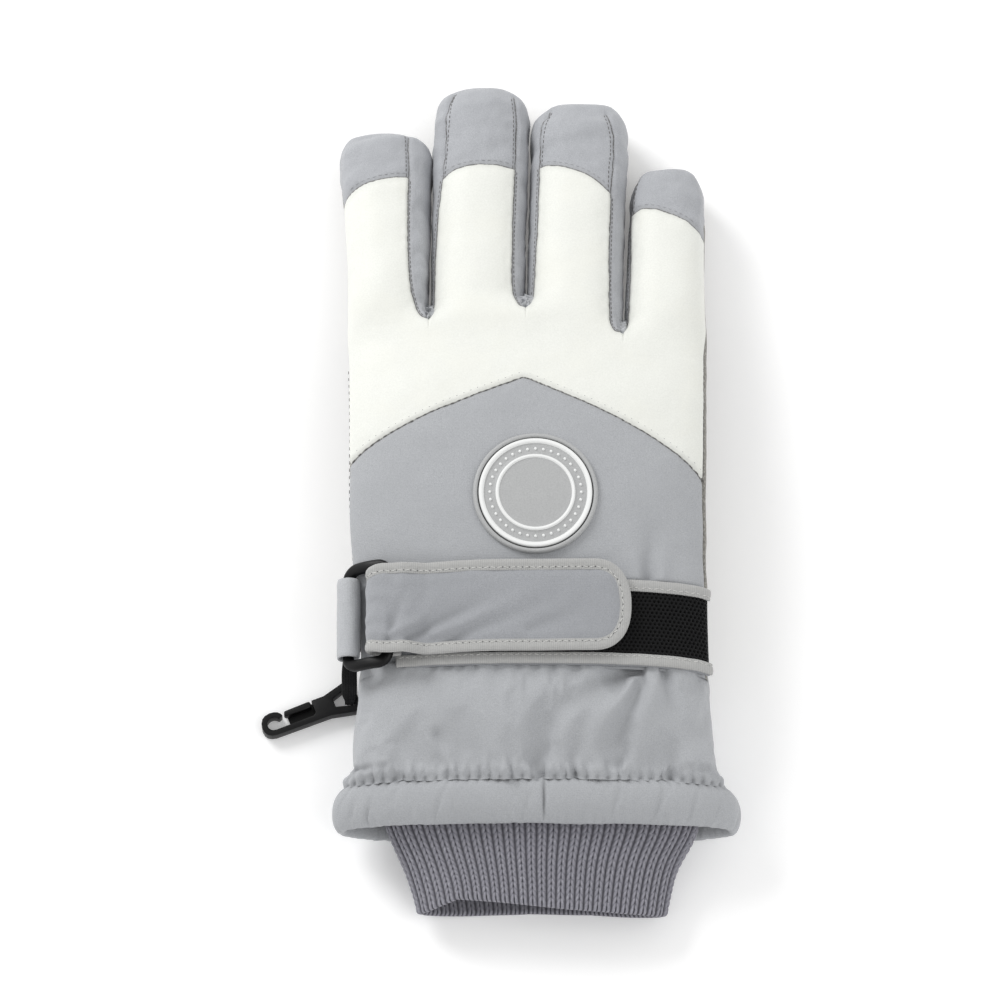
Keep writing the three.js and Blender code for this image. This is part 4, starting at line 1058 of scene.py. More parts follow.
# ------------------------------------------------------------------ knit cuff
def knit_piece():
    wales = 58
    per_w = 12
    nph = wales * per_w
    ph, per = arc_param(KNIT, -134, nph)
    dy = 0.29
    yo = np.arange(-103.0, -146.4, -dy)
    u = np.arange(nph) / per_w
    wv = u - np.floor(u) - 0.5                          # -0.5..0.5 across a wale
    def wall(ys, depth, amp):
        Y, A = np.meshgrid(ys, ph, indexing="ij")
        cx, a, cz, b = sec(KNIT, np.maximum(Y, -148))
        X, Z = oval((cx, a - depth, cz, b - depth), A)
        P = np.stack([X, Y, Z], -1)
        N = outward(P)
        U = np.broadcast_to(u, Y.shape)
        w_ = np.broadcast_to(wv, Y.shape)
        # ribs pull together and spread again along the cuff
        rib = 1 - (np.abs(w_) / 0.5) ** 3.2
        course = -Y / 2.15 - 2.1 * np.abs(w_)
        ph2 = course - np.floor(course)
        lob = np.clip(np.sin(np.pi * ph2), 0, 1) ** 0.55
        legs = np.exp(-((np.abs(w_) - 0.205) / 0.15) ** 2)
        pit = np.exp(-(w_ / 0.07) ** 2)
        h = 0.58 * rib + 0.55 * lob * legs - 0.26 * pit
        # a 0..1 tone from the stitch shape, which the material turns into painted shade in the pits and painted
        # highlight on the loops
        k = np.clip(0.30 + 0.30 * rib + 0.55 * lob * legs - 0.60 * pit * (1 - 0.75 * lob) - 0.16 * (1 - lob) * rib, 0, 1)
        soft = 0.5 * noise(np.stack([U * 0.23, Y * 0.06, 0 * Y], -1), 1.0, 3.0)
        return P + N * ((h - 0.75) * amp + soft)[..., None], k
    Po, ko = wall(yo, 0.0, 1.0)
    yi = np.arange(-146.4, -112.0, dy * 1.6)
    Pi, ki = wall(yi, 2.0, -0.6)
    # rim: rolls from outer to inner wall
    rim, kr = [], []
    for t in np.linspace(0, 1, 9)[1:-1]:
        a = t * math.pi
        mid = Po[-1] * (1 + math.cos(a)) / 2 + Pi[0] * (1 - math.cos(a)) / 2
        mid = mid + np.array([0, -1.5 * math.sin(a), 0])
        rim.append(mid)
        kr.append(ko[-1] * (1 - t) + ki[0] * t)
    P = np.concatenate([Po, np.array(rim), Pi])
    K = np.concatenate([ko, np.array(kr), ki])
    P[..., 0] += 0.0
    # the mouth is uneven, lower in the middle of the back
    U = np.broadcast_to(np.radians(ph), P.shape[:2])
    near = sm(-128, -147, P[..., 1])
    x = P[..., 0]
    topside = sm(-0.2, 0.3, np.sin(U))
    edge_t = np.interp(x, [-38, -33, -23.7, -8.5, 12, 31, 42, 47], [-0.8, -0.2, 2.6, 1.4, -0.6, -1.6, -1.8, -0.6])
    edge_b = np.interp(x, [-38, -20, 0, 20, 45], [0.2, 1.2, 2.2, 1.6, -0.6])
    P[..., 1] += near * (edge_t * topside + edge_b * (1 - topside))
    # the back layer sinks a little toward its left end, as it lies open
    P[..., 2] += near * topside * np.interp(x, [-38, -24, -8, 10, 30, 45], [-1.2, 1.6, 0.6, -0.4, -1.2, -1.4])
    P = floor_press(P, 0.04)
    m = Mesh("knit_cuff_rib")
    m.grid(P, True, rest=P.copy(), kh=K)
    o = m.build([M_KNIT])
    return piece(o, "hand", ("knit_cuff",))

knit = knit_piece()

# ------------------------------------------------------------------ lining seen through the mouth
def lining_piece():
    ph = np.linspace(0, 360, 120, endpoint=False)
    rows = []
    for y, d, T in [(-113.5, 6.4, HEM), (-106, 6.4, HAND), (-95, 6.0, HAND), (-80, 5.6, HAND), (-60, 5.6, HAND), (-40, 5.6, HAND), (-20, 5.6, HAND), (0, 5.6, HAND), (20, 5.6, HAND), (36, 5.8, HAND), (42, 7.5, HAND), (43.5, 11, HAND)]:
        x, z = oval([np.array(float(v)) for v in sec(T, np.array(float(y)), d)], ph)
        rows.append(np.stack([x, np.full_like(x, y), z], -1))
    P = upsample(np.array(rows), 4, 1)
    N = outward(P)
    P = P + N * (0.5 * fbm(P, 1 / 9.0, 2.0, 3))[..., None]
    m = Mesh("lining")
    m.grid(P, True, False, True, rest=P.copy())
    Q = P - N * 1.2
    m.grid(Q, True, False, True, flip=True, rest=Q.copy())
    m.grid(np.stack([P[0], Q[0]]), True, rest=np.stack([P[0], Q[0]]))
    o = m.build([M_FLEECE])
    return piece(o, "hand", ("hand_insulation", "hand_lining", "gauntlet_liner"))

lining = lining_piece()

# ------------------------------------------------------------------ strap band across the back
def band_arc(y, d, a0=14.0, a1=134.0, n=200):
    """Points over the back from the little-finger side to under the ring."""
    a = np.linspace(a0, a1, n)
    cx, a_, cz, b = sec(HAND, np.full(n, float(y)), -d)
    x, z = oval((cx, a_, cz, b), a)
    return np.stack([x, np.full(n, float(y)), z], -1)

def strip(name, y0, y1, d0, d1, mats, a0, a1, n, k, shape=None, kh=None, **kw):
    """Rows of the top and under side of a flat strip over the back."""
    v = np.linspace(0, 1, k)
    top = np.stack([band_arc(y0 + (y1 - y0) * t, d1, a0, a1, n) for t in v])
    bot = np.stack([band_arc(y0 + (y1 - y0) * t, d0, a0, a1, n) for t in v])
    return top, bot

def band_piece():
    n = 220
    m = Mesh("strap_band_cloth")
    P = np.concatenate([np.stack([band_arc(y, 1.3, 13.0, 136.5, n) for y in np.linspace(-41.6, -70.9, 24)]), np.stack([band_arc(y, 0.35, 13.0, 136.5, n) for y in np.linspace(-70.9, -41.6, 24)])])
    n_, m_ = P.shape[:2]
    i, j = np.meshgrid(np.arange(n_), np.arange(m_ - 1), indexing="ij")
    q = np.stack([i * m_ + j, i * m_ + j + 1, ((i + 1) % n_) * m_ + j + 1, ((i + 1) % n_) * m_ + j], -1).reshape(-1, 4)
    m.add(P.reshape(-1, 3), q, 0, rest=P.reshape(-1, 3), fold=np.zeros(n_ * m_))
    o = m.build([M_FLAP])
    return piece(o, "hand", ("strap_band",))

band = band_piece()

def pile_piece():
    n, k = ((360, 82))
    a0, a1 = 14.5, 124.0
    ys = np.linspace(-44.6, -67.8, k)
    P = np.stack([band_arc(y, 1.75, a0, a1, n) for y in ys])
    s = np.concatenate([[0], np.cumsum(np.linalg.norm(np.diff(P[k // 2], axis=0), axis=1))])
    Sx = np.broadcast_to(s, (k, n))
    Yy = P[..., 1]
    # raised mesh of loops, open cells in a honeycomb lay
    p = 1.5
    q1 = Sx / p
    q2 = Yy / (p * 0.866)
    off = np.mod(np.floor(q2), 2) * 0.5
    cellx = np.mod(q1 + off, 1.0) - 0.5
    celly = np.mod(q2, 1.0) - 0.5
    r = np.hypot(cellx * 1.05, celly * 0.95)
    # loop height: lifts the loops here, and the material paints shade into the low open cells from it
    kh = sm(0.20, 0.46, r)
    N = outward(P, False)
    N = np.where(N[..., 2:3] < 0, -N, N)
    edge = np.minimum(sm(0, 2, s)[None, :], sm(0, 2, s[-1] - s)[None, :])
    fz = 0.14 * noise(P, 1.4, 4.0)
    P = P + N * ((0.62 * kh + fz) * edge)[..., None]
    Q = np.stack([band_arc(y, 1.4, a0, a1, n) for y in ys])[::-1]
    A = np.concatenate([P, Q])
    K = np.concatenate([kh, np.zeros_like(kh)])
    n_, m_ = A.shape[:2]
    i, j = np.meshgrid(np.arange(n_), np.arange(m_ - 1), indexing="ij")
    q = np.stack([i * m_ + j, i * m_ + j + 1, ((i + 1) % n_) * m_ + j + 1, ((i + 1) % n_) * m_ + j], -1).reshape(-1, 4)
    m = Mesh("loop_pile")
    m.add(A.reshape(-1, 3), q, 0, rest=A.reshape(-1, 3), kh=K.reshape(-1))
    o = m.build([M_PILE])
    return piece(o, "hand", ("strap_pile_face",))

pile = pile_piece()

def tube_along(C, up, half_w, half_t, n=20, e=3.0, close_ends=True):
    """Sweeps a soft rectangle along C; up is the thickness direction at each point."""
    T = np.gradient(C, axis=0)
    T /= np.linalg.norm(T, axis=1)[:, None]
    up = up - (up * T).sum(1, keepdims=True) * T
    up /= np.linalg.norm(up, axis=1)[:, None]
    side = np.cross(T, up)
    th = np.linspace(0, 2 * np.pi, n, endpoint=False)
    c, s = spow(np.cos(th), 2 / e), spow(np.sin(th), 2 / e)
    hw = np.broadcast_to(half_w, (len(C),))[:, None, None]
    ht = np.broadcast_to(half_t, (len(C),))[:, None, None]
    return C[:, None, :] + side[:, None, :] * c[None, :, None] * hw + up[:, None, :] * s[None, :, None] * ht, side, up

def hand_up(C):
    """The outward direction of the back of the hand at points C."""
    e = 0.3
    zx = (ztop(HAND, C[:, 0] + e, C[:, 1]) - ztop(HAND, C[:, 0] - e, C[:, 1])) / (2 * e)
    zy = (ztop(HAND, C[:, 0], C[:, 1] + e) - ztop(HAND, C[:, 0], C[:, 1] - e)) / (2 * e)
    n = np.stack([-zx, -zy, np.ones(len(C))], -1)
    return n / np.linalg.norm(n, axis=1)[:, None]

def band_binding(name, y, node):
    n = 260
    C = band_arc(y, 2.15, 13.5, 133.0 if y > -50 else 135.6, n)
    s = np.concatenate([[0], np.cumsum(np.linalg.norm(np.diff(C, axis=0), axis=1))])
    C[:, 1] += 0.12 * noise(np.stack([s * 0.2, 0 * s, 0 * s], -1), 1.0, y)
    cx, a, cz, b = sec(HAND, C[:, 1])
    up = np.stack([(C[:, 0] - cx) / a**2, 0 * s, (C[:, 2] - cz) / b**2], -1)
    G, side, upn = tube_along(C, up, 2.05, 0.78, 22, 2.6)
    # the sewn line dips the tape
    sgn = 1 if y > -55 else -1
    rel = ((G - C[:, None]) * side[:, None]).sum(-1)
    inner = rel * np.sign(side[:, 1]).mean() * (-sgn)
    hgt = ((G - C[:, None]) * upn[:, None]).sum(-1)
    dip = 0.3 * np.exp(-((inner - 1.0) / 0.45) ** 2) * (hgt > 0)
    G = G - upn[:, None] * dip[..., None]
    m = Mesh(name)
    m.grid(G, True, True, True, rest=G.copy())
    # stitches
    ys = y - sgn * 1.0
    st = np.arange(1.0, s[-1] - 1.0, 2.15)
    for c, q in enumerate(st):
        pts = []
        for dq in (-0.75, 0.75):
            i = np.interp(q + dq, s, np.arange(n))
            k0 = int(i)
            k1 = min(k0 + 1, n - 1)
            p = C[k0] * (1 - (i - k0)) + C[k1] * (i - k0)
            zz = 0.22 * (1 if (dq > 0) == (c % 2 == 0) else -1)
            pts.append(p + upn[k0] * 0.60 + np.array([0, -sgn * 1.0 + zz, 0]))
        capsule(m, pts[0], pts[1], 0.17, 1, up=upn[int(np.interp(q, s, np.arange(n)))], flat=0.8, n=5)
    o = m.build([M_BIND, M_TWHITE])
    return piece(o, "hand", (node,))

bind_u = band_binding("band_binding_top", -43.6, "band_binding_upper")
bind_l = band_binding("band_binding_bottom", -68.9, "band_binding_lower")

# ------------------------------------------------------------------ strap flap
def lift(x, y):
    return (2.9 + 3.2 * (-36 - y) / 31) * sm(-33, -43.5, x)

def on_flap(x, y, d):
    p = above(x, y, 0.0 * x + d + lift(x, y))
    return p

def flap_half(x):
    u = np.clip((x - 21.2) / 12.6, 0, 1)
    return 15.6 * np.maximum(1 - u**2.35, 0) ** (1 / 2.35)

FLAP_Y = -51.8
def flap_centre(x):
    """The strap rises slightly toward its free end."""
    return FLAP_Y - 0.9 * sm(-10, -46, x) + 0.5 * sm(0, 30, x)

FOLDS_F = [([(-40, -63.5), (-33, -59), (-20, -53), (-7, -47)], -1.0, 2.2), ([(-27, -65), (-19, -60.5), (-5, -54.5), (9.5, -47.5)], -0.9, 2.2), ([(-47, -64), (-45.5, -57), (-43.5, -51), (-41, -45)], -1.0, 1.6), ([(-32, -61.5), (-16, -55), (-4, -50)], 0.7, 2.2),
           ([(-46, -62), (-38, -58), (-32, -50)], 0.8, 2.0), ([(0, -60), (12, -55), (22, -48)], -0.6, 2.6)]
Q_ROOT = -46.0
TURN = smooth_line([(-46.0, 47.3), (-48.8, 47.0), (-51.7, 45.5), (-53.6, 42.8), (-53.5, 39.9), (-51.7, 37.2), (-48.6, 36.3), (-45.4, 37.2), (-42.4, 38.0)], 10)
TURN_S = np.concatenate([[0], np.cumsum(np.linalg.norm(np.diff(TURN, axis=0), axis=1))])
TURN_T = np.gradient(TURN, axis=0)
TURN_T /= np.linalg.norm(TURN_T, axis=1)[:, None]
TURN_N = np.stack([-TURN_T[:, 1], TURN_T[:, 0]], -1) * -1.0

def strap_point(q, y, d):
    """A point of the strap: q is x along the back, and runs on round the ring's bar below Q_ROOT."""
    q, y = np.broadcast_arrays(np.asarray(q, float), np.asarray(y, float))
    flat = on_flap(np.maximum(q, Q_ROOT), y, d)
    s_ = np.clip(Q_ROOT - q, 0, TURN_S[-1])
    tx, tz = np.interp(s_, TURN_S, TURN[:, 0]), np.interp(s_, TURN_S, TURN[:, 1])
    nx, nz = np.interp(s_, TURN_S, TURN_N[:, 0]), np.interp(s_, TURN_S, TURN_N[:, 1])
    root = on_flap(np.full_like(q, Q_ROOT), y, 5.25)
    fall = 1 - sm(0, 11, s_)
    narrow = 1 - 0.10 * sm(2, 12, s_)
    yc = float(flap_centre(np.array(Q_ROOT)))
    turn = np.stack([tx + nx * (d - 5.25), yc + (y - yc) * narrow, tz + (root[..., 2] - 47.3) * fall + nz * (d - 5.25)], -1)
    return np.where((q < Q_ROOT)[..., None], turn, flat)

def strap_up(q, y):
    e = 0.25
    a_ = strap_point(q + e, y, 5.25) - strap_point(q - e, y, 5.25)
    b_ = strap_point(q, y + e, 5.25) - strap_point(q, y - e, 5.25)
    n = np.cross(a_, b_)
    return n / np.maximum(np.linalg.norm(n, axis=-1, keepdims=True), 1e-9)

STRAP_BLEND = ("ring", "flap", (-50, -53, 41.5), (-48, -53, 46.8))

def flap_piece():
    k, n = ((64, 230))
    q0 = Q_ROOT - TURN_S[-1] + 0.05
    xs = np.concatenate([np.linspace(q0, 20, int(n * .78), endpoint=False), 20 + (33.8 - 20) * np.sin(np.linspace(0, 1, n - int(n * .78)) * np.pi / 2)])
    v = np.linspace(-1, 1, k)
    X, V_ = np.meshgrid(xs, v, indexing="ij")
    H = np.maximum(flap_half(X) - 1.6, 0.02)
    X = np.where(X > 21.2, 21.2 + (X - 21.2) * (1 - 1.6 / 12.6), X)
    Y = flap_centre(np.maximum(X, Q_ROOT)) + V_ * H
    U = strap_up(X, Y)
    P = strap_point(X, Y, 5.25)
    edge = 1 - np.abs(V_)
    puff = 0.8 * sm(0, 0.35, edge) * sm(0, 6, 32.2 - X)
    F_ = np.stack([X, Y, 0 * X], -1)
    fd = fold_disp(F_, FOLDS_F)
    fd = np.where(fd > 0, 1.5 * fd, 1.2 * fd)
    rim = sm(Q_ROOT - TURN_S[-1] + 2, Q_ROOT - 8, X)
    disp = (puff + fd * np.where(fd > 0, sm(0.04, 0.3, edge), sm(0.0, 0.12, edge)) + 0.24 * fbm(F_, 1 / 9.0, 5.0, 2) + 0.35 * noise(F_ * np.array([0.12, 0.3, 0]), 1.0, 8.0) * sm(-34, -48, X)) * (0.25 + 0.75 * rim)
    disp = np.where(disp < 0, 0.62 * np.tanh(disp / 0.62), disp)          # never thinner than the two cloth layers
    P = P + U * disp[..., None]
    Q = strap_point(X, Y, 4.45) + U * (0.12 * fbm(F_, 1 / 9.0, 5.0, 2))[..., None]
    # painted shade for the material in the fold valleys
    fold = np.clip(-fd, 0, 1) * 0.55
    m = Mesh("flap_cloth")
    m.grid(P, False, rest=P.copy(), fold=fold)
    m.grid(Q, False, flip=True, rest=Q.copy(), fold=0 * fold)
    rp = np.concatenate([P[0, :], P[1:, -1], P[-1, -2::-1], P[-2:0:-1, 0]])
    rq = np.concatenate([Q[0, :], Q[1:, -1], Q[-1, -2::-1], Q[-2:0:-1, 0]])
    m.grid(np.stack([rp, rq]), True, rest=np.stack([rp, rq]), fold=np.zeros((2, len(rp))))
    o = m.build([M_FLAP])
    return piece(o, None, ("flap_panel",), blend=STRAP_BLEND)

flap = flap_piece()

def flap_outline(inset, n=420):
    """Outline of the strap from under the ring's bar round the free end and back, moved in by inset."""
    t = np.linspace(0, np.pi, 160)
    x_e = 21.2 + (12.6 - inset) * spow(np.sin(t), 2 / 2.35)
    v_e = (15.6 - inset) * spow(np.cos(t), 2 / 2.35)
    x0 = np.linspace(Q_ROOT - TURN_S[-1] + 0.4, 21.2, 160, endpoint=False)
    x = np.concatenate([x0, x_e, x0[::-1]])
    v = np.concatenate([np.full(160, 15.6 - inset), v_e, np.full(160, -(15.6 - inset))])
    L = np.stack([x, flap_centre(np.maximum(x, Q_ROOT)) + v], -1)
    keep = np.concatenate([[True], np.linalg.norm(np.diff(L, axis=0), axis=1) > 1e-4])
    L = L[keep]
    s = np.concatenate([[0], np.cumsum(np.linalg.norm(np.diff(L, axis=0), axis=1))])
    u = np.linspace(0, s[-1], n)
    return np.stack([np.interp(u, s, L[:, 0]), np.interp(u, s, L[:, 1])], -1), u

def flap_binding_piece():
    n = 600
    L, s = flap_outline(1.9, n)
    C = strap_point(L[:, 0], L[:, 1], 5.12)
    up = strap_up(L[:, 0], L[:, 1])
    G, side, upn = tube_along(C, up, 2.0, 1.12, 24, 2.7)
    inner = ((G - C[:, None]) * side[:, None]).sum(-1)
    qin = np.clip(L[:, 0], -60, 20)
    toward = strap_point(L[:, 0] + 0.05 * (np.where(L[:, 0] > 20, 20, L[:, 0]) - L[:, 0]), L[:, 1] + 0.05 * (flap_centre(np.maximum(L[:, 0], Q_ROOT)) - L[:, 1]), 5.12) - C
    sg = np.sign((toward * side).sum(1))[:, None]
    inner = inner * sg
    hgt = ((G - C[:, None]) * upn[:, None]).sum(-1)
    dip = 0.42 * np.exp(-((inner - 0.95) / 0.5) ** 2) * (hgt > 0)
    wr = 0.12 * noise(G, 0.5, 6.0) * (hgt > 0)
    G = G + upn[:, None] * (wr - dip)[..., None]
    m = Mesh("flap_tape")
    m.grid(G, True, True, True, rest=G.copy())
    S2, s2 = flap_outline(1.9 + 0.95, n)
    pitch = 2.2
    for c, q in enumerate(np.arange(1.6, s2[-1] - 1.2, pitch)):
        pts, ups = [], []
        for dq in (-0.8, 0.8):
            x, y = np.interp(q + dq, s2, S2[:, 0]), np.interp(q + dq, s2, S2[:, 1])
            yc = float(flap_centre(np.array(max(x, Q_ROOT))))
            cd = np.array([min(x, 20) - x, yc - y])
            cd /= max(np.linalg.norm(cd), 1e-6)
            off = 0.24 * (1 if (dq > 0) == (c % 2 == 0) else -1)
            x, y = x + cd[0] * off, y + cd[1] * off
            u_ = strap_up(np.array([x]), np.array([y]))[0]
            pts.append(strap_point(np.array([x]), np.array([y]), 5.12)[0] + u_ * 0.78)
            ups.append(u_)
        capsule(m, pts[0], pts[1], 0.18, 1, up=ups[0], flat=0.85, n=5)
        # between stitches a small dark capsule stands for the needle hole: painted shade
        x, y = np.interp(q + pitch / 2, s2, S2[:, 0]), np.interp(q + pitch / 2, s2, S2[:, 1])
        u_ = strap_up(np.array([x]), np.array([y]))[0]
        p = strap_point(np.array([x]), np.array([y]), 5.12)[0] + u_ * 0.70
        t_ = np.cross(u_, [0, 1.0, 0])
        capsule(m, p - t_ * 0.16, p + t_ * 0.16, 0.2, 2, up=u_, flat=0.5, n=5)
    o = m.build([M_BIND, M_TWHITE, M_HOLE_SHADE])
    return piece(o, None, ("flap_binding",), blend=STRAP_BLEND)

flap_tape = flap_binding_piece()

def hook_piece():
    nx, ny = ((96, 74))
    X, Y = np.meshgrid(np.linspace(9, 28, nx), np.linspace(-61.5, -46.8, ny), indexing="ij")
    r = np.maximum(np.abs(X - 18.5) / 9.5, np.abs(Y + 54.15) / 7.35)
    X = 18.5 + (X - 18.5) * (1 - 0.10 * sm(0.6, 1, r) * (np.abs(Y + 54.15) / 7.35) ** 3)
    # hook height: shapes the hooks here, and the pile material paints shade between them from it
    h = np.abs(np.sin(X * np.pi / 0.95)) * np.abs(np.sin(Y * np.pi / 0.95))
    P = above(X, Y, 3.45) - np.stack([0 * X, 0 * X, 0.42 * h * sm(1.0, 0.93, r)], -1)
    Q = above(X, Y, 3.8)
    m = Mesh("flap_hooks")
    m.grid(P, False, rest=P.copy(), kh=h)
    m.grid(Q, False, flip=True, rest=Q.copy(), kh=0 * h)
    rp = np.concatenate([P[0, :], P[1:, -1], P[-1, -2::-1], P[-2:0:-1, 0]])
    rq = np.concatenate([Q[0, :], Q[1:, -1], Q[-1, -2::-1], Q[-2:0:-1, 0]])
    m.grid(np.stack([rp, rq]), True, rest=np.stack([rp, rq]), kh=np.zeros((2, len(rp))))
    o = m.build([M_PILE])
    return piece(o, "flap", ("flap_hook_patch",))

hooks = hook_piece()

# ------------------------------------------------------------------ ring, tab and the strap's fold
def ring_piece():
    xo, zo, xi, zi = -60.4, 33.4, -47.2, 41.0
    y0, y1, rad = -70.0, -36.0, 3.4
    cx, cy = (xo + xi) / 2, (y0 + y1) / 2
    hx, hy = (xi - xo) / 2, (y1 - y0) / 2
    pts = []
    for qx, qy, a0 in ((1, 1, 0), (-1, 1, 90), (-1, -1, 180), (1, -1, 270)):
        for a in np.linspace(a0, a0 + 90, 14):
            r = rad
            pts.append((cx + qx * (hx - r) + r * math.cos(math.radians(a)), cy + qy * (hy - r) + r * math.sin(math.radians(a))))
    L = np.array(pts + pts[:1])
    L = resample(L, 0.6)
    x, y = L[:, 0], L[:, 1]
    u = (x - xo) / (xi - xo)
    z = zo + (zi - zo) * u + 1.5 * np.sin(np.pi * np.clip(u, 0, 1)) * sm(0.80, 0.97, np.abs(y - cy) / hy)
    C = np.stack([x, y, z], -1)
    n = len(C)
    T = np.roll(C, -1, 0) - np.roll(C, 1, 0)
    T /= np.linalg.norm(T, axis=1)[:, None]
    pn = np.array([-(zi - zo), 0, (xi - xo)])
    pn = pn / np.linalg.norm(pn)
    up = pn - (T @ pn)[:, None] * T
    up /= np.linalg.norm(up, axis=1)[:, None]
    side = np.cross(T, up)
    th = np.linspace(0, 2 * np.pi, 22, endpoint=False)
    bar = sm(0.55, 0.9, np.abs(y - cy) / hy)
    hw = (1.45 + 0.55 * bar)[:, None, None]
    ht = (1.25 + 0.15 * bar)[:, None, None]
    c, s = spow(np.cos(th), 2 / 2.9), spow(np.sin(th), 2 / 2.9)
    G = C[:, None] + side[:, None] * c[None, :, None] * hw + up[:, None] * s[None, :, None] * ht
    G = np.concatenate([G, G[:1]])
    m = Mesh("strap_ring_moulding")
    n_, m_ = G.shape[0] - 1, G.shape[1]
    i, j = np.meshgrid(np.arange(n_), np.arange(m_), indexing="ij")
    q = np.stack([i * m_ + j, i * m_ + (j + 1) % m_, ((i + 1) % n_) * m_ + (j + 1) % m_, ((i + 1) % n_) * m_ + j], -1).reshape(-1, 4)
    m.add(G[:-1].reshape(-1, 3), q, 0, rest=G[:-1].reshape(-1, 3))
    o = m.build([M_PLAS])
    return piece(o, "ring", ("strap_ring",))

ring = ring_piece()

def tab_piece():
    n = 60
    a = np.radians(np.linspace(-62, 236, n))
    ys = np.linspace(-39.2, -66.8, 54)
    outer = np.stack([-60.4 + 3.9 * np.cos(a), 0 * a, 33.4 + 3.9 * np.sin(a)], -1)
    tail = np.stack([np.interp(np.linspace(0, 1, 16), [0, .35, 1], [outer[-1, 0] - 0.0, -61.6, -60.2]), np.zeros(16), np.linspace(outer[-1, 2], 23.4, 16)], -1)[1:]
    prof = np.vstack([outer, tail])
    nrm = np.gradient(prof, axis=0)
    nrm = np.stack([nrm[:, 2], 0 * nrm[:, 0], -nrm[:, 0]], -1)
    nrm /= np.linalg.norm(nrm, axis=1)[:, None]
    inner = prof - nrm * 0.95
    loop = np.vstack([prof, inner[::-1]])
    rows = []
    for k, y in enumerate(ys):
        e = min(k, len(ys) - 1 - k)
        pinch = 0.28 * math.exp(-(e / 1.3) ** 2)
        P = loop + np.vstack([nrm * -pinch, nrm[::-1] * pinch])
        P = P.copy()
        P[:, 1] = y
        w = 0.16 * noise(P * np.array([0.3, 0.09, 0.3]), 1.0, 6.0) + 0.06 * noise(P, 0.5, 2.0)
        P[:len(prof)] += nrm * w[:len(prof), None]
        rows.append(P)
    G = np.array(rows)
    m = Mesh("ring_tab_cloth")
    m.grid(G, True, rest=G.copy(), fold=np.zeros(G.shape[:2]))
    # ends: a strip of quads between outer and inner lines
    k = len(prof)
    for row in (0, len(ys) - 1):
        base = row * 2 * k
        idx = np.arange(k - 1)
        q = np.stack([base + idx, base + idx + 1, base + 2 * k - 2 - idx, base + 2 * k - 1 - idx], -1)
        m.F.append(q)
        m.M.append(np.zeros(len(q)))
    for yy in np.arange(-41, -66, -2.4):
        capsule(m, (-61.75, yy, 25.2), (-61.75, yy - 1.3, 25.2), 0.17, 1, up=np.array([-1.0, 0, 0]), n=5)
    o = m.build([M_TAB, M_TGREY])
    return piece(o, "hand", ("ring_tab",))

tab_ = tab_piece()

# ------------------------------------------------------------------ badge
def badge_piece():
    # columns: radius, height above the back (less 0.45 mm), and the mark: 1 printed white, -1 painted groove shade, 0
    # plain
    prof = [(0, 1.75, 0), (9.6, 1.75, 0), (12.05, 1.75, 0), (12.25, 1.8, 1), (12.4, 2.15, 1), (13.1, 2.2, 1), (13.3, 1.9, 1), (13.45, 1.7, 0), (14.6, 1.66, 0), (16.9, 1.66, 0), (17.2, 1.7, 0), (17.35, 1.8, 1),
            (17.55, 2.25, 1), (18.6, 2.35, 1), (18.9, 2.2, 1), (19.02, 1.7, 0), (19.12, 1.25, -1), (19.32, 1.2, -1), (19.42, 1.55, 0), (19.6, 2.0, 0), (19.95, 2.2, 0), (20.5, 2.12, 0), (20.85, 1.8, 0), (20.98, 1.3, 0), (20.9, 0.35, 0)]
    n = 176
    th = np.linspace(0, 2 * np.pi, n, endpoint=False)
    R = np.array([p[0] for p in prof])
    dense_r, dense_d, dense_k = [R[0]], [prof[0][1]], [prof[0][2]]
    for (r0, d0, k0), (r1, d1, k1) in zip(prof[:-1], prof[1:]):
        c = max(1, int(abs(r1 - r0) / 0.9))
        for t in np.linspace(0, 1, c + 1)[1:]:
            dense_r.append(r0 + (r1 - r0) * t)
            dense_d.append(d0 + (d1 - d0) * t)
            dense_k.append(k0 + (k1 - k0) * t)
    r = np.array(dense_r[1:])[:, None]
    d = np.array(dense_d[1:])[:, None]
    X = 2.0 + r * np.cos(th)
    Y = -12.0 + r * np.sin(th)
    P = above(X, Y, 0.0 * X + d + 0.45)
    K = np.broadcast_to(np.array(dense_k[1:])[:, None], X.shape)
    m = Mesh("badge_moulded")
    m.grid(P, True, True, False, rest=P.copy(), ink=K)
    Q = above(np.stack([20.9 * np.cos(th) + 2, 0.5 * np.cos(th) + 2]), np.stack([20.9 * np.sin(th) - 12, 0.5 * np.sin(th) - 12]), 0.55)
    Q[0] = P[-1]
    m.grid(Q, True, False, True, rest=Q.copy(), ink=np.zeros(Q.shape[:2]))
    # plain dots, evenly spaced, where the moulding carries relief
    for q in range(36):
        a = 2 * math.pi * q / 36
        for rr_, h_ in ((0.52, 0.0), (0.40, 0.30), (0.18, 0.42)):
            pass
        b = np.linspace(0, 2 * np.pi, 10, endpoint=False)
        rows = []
        for rr_, h_ in ((0.50, -0.05), (0.48, 0.25), (0.32, 0.42), (0.05, 0.46)):
            X = 2.0 + 15.3 * math.cos(a) + rr_ * np.cos(b)
            Y = -12.0 + 15.3 * math.sin(a) + rr_ * np.sin(b)
            rows.append(above(X, Y, 1.66 + 0.45 + h_))
        D = np.array(rows)
        m.grid(D, True, False, True, rest=D.copy(), ink=np.ones(D.shape[:2]))
    o = m.build([M_BADGE])
    return piece(o, "hand", ("badge",))

badge = badge_piece()

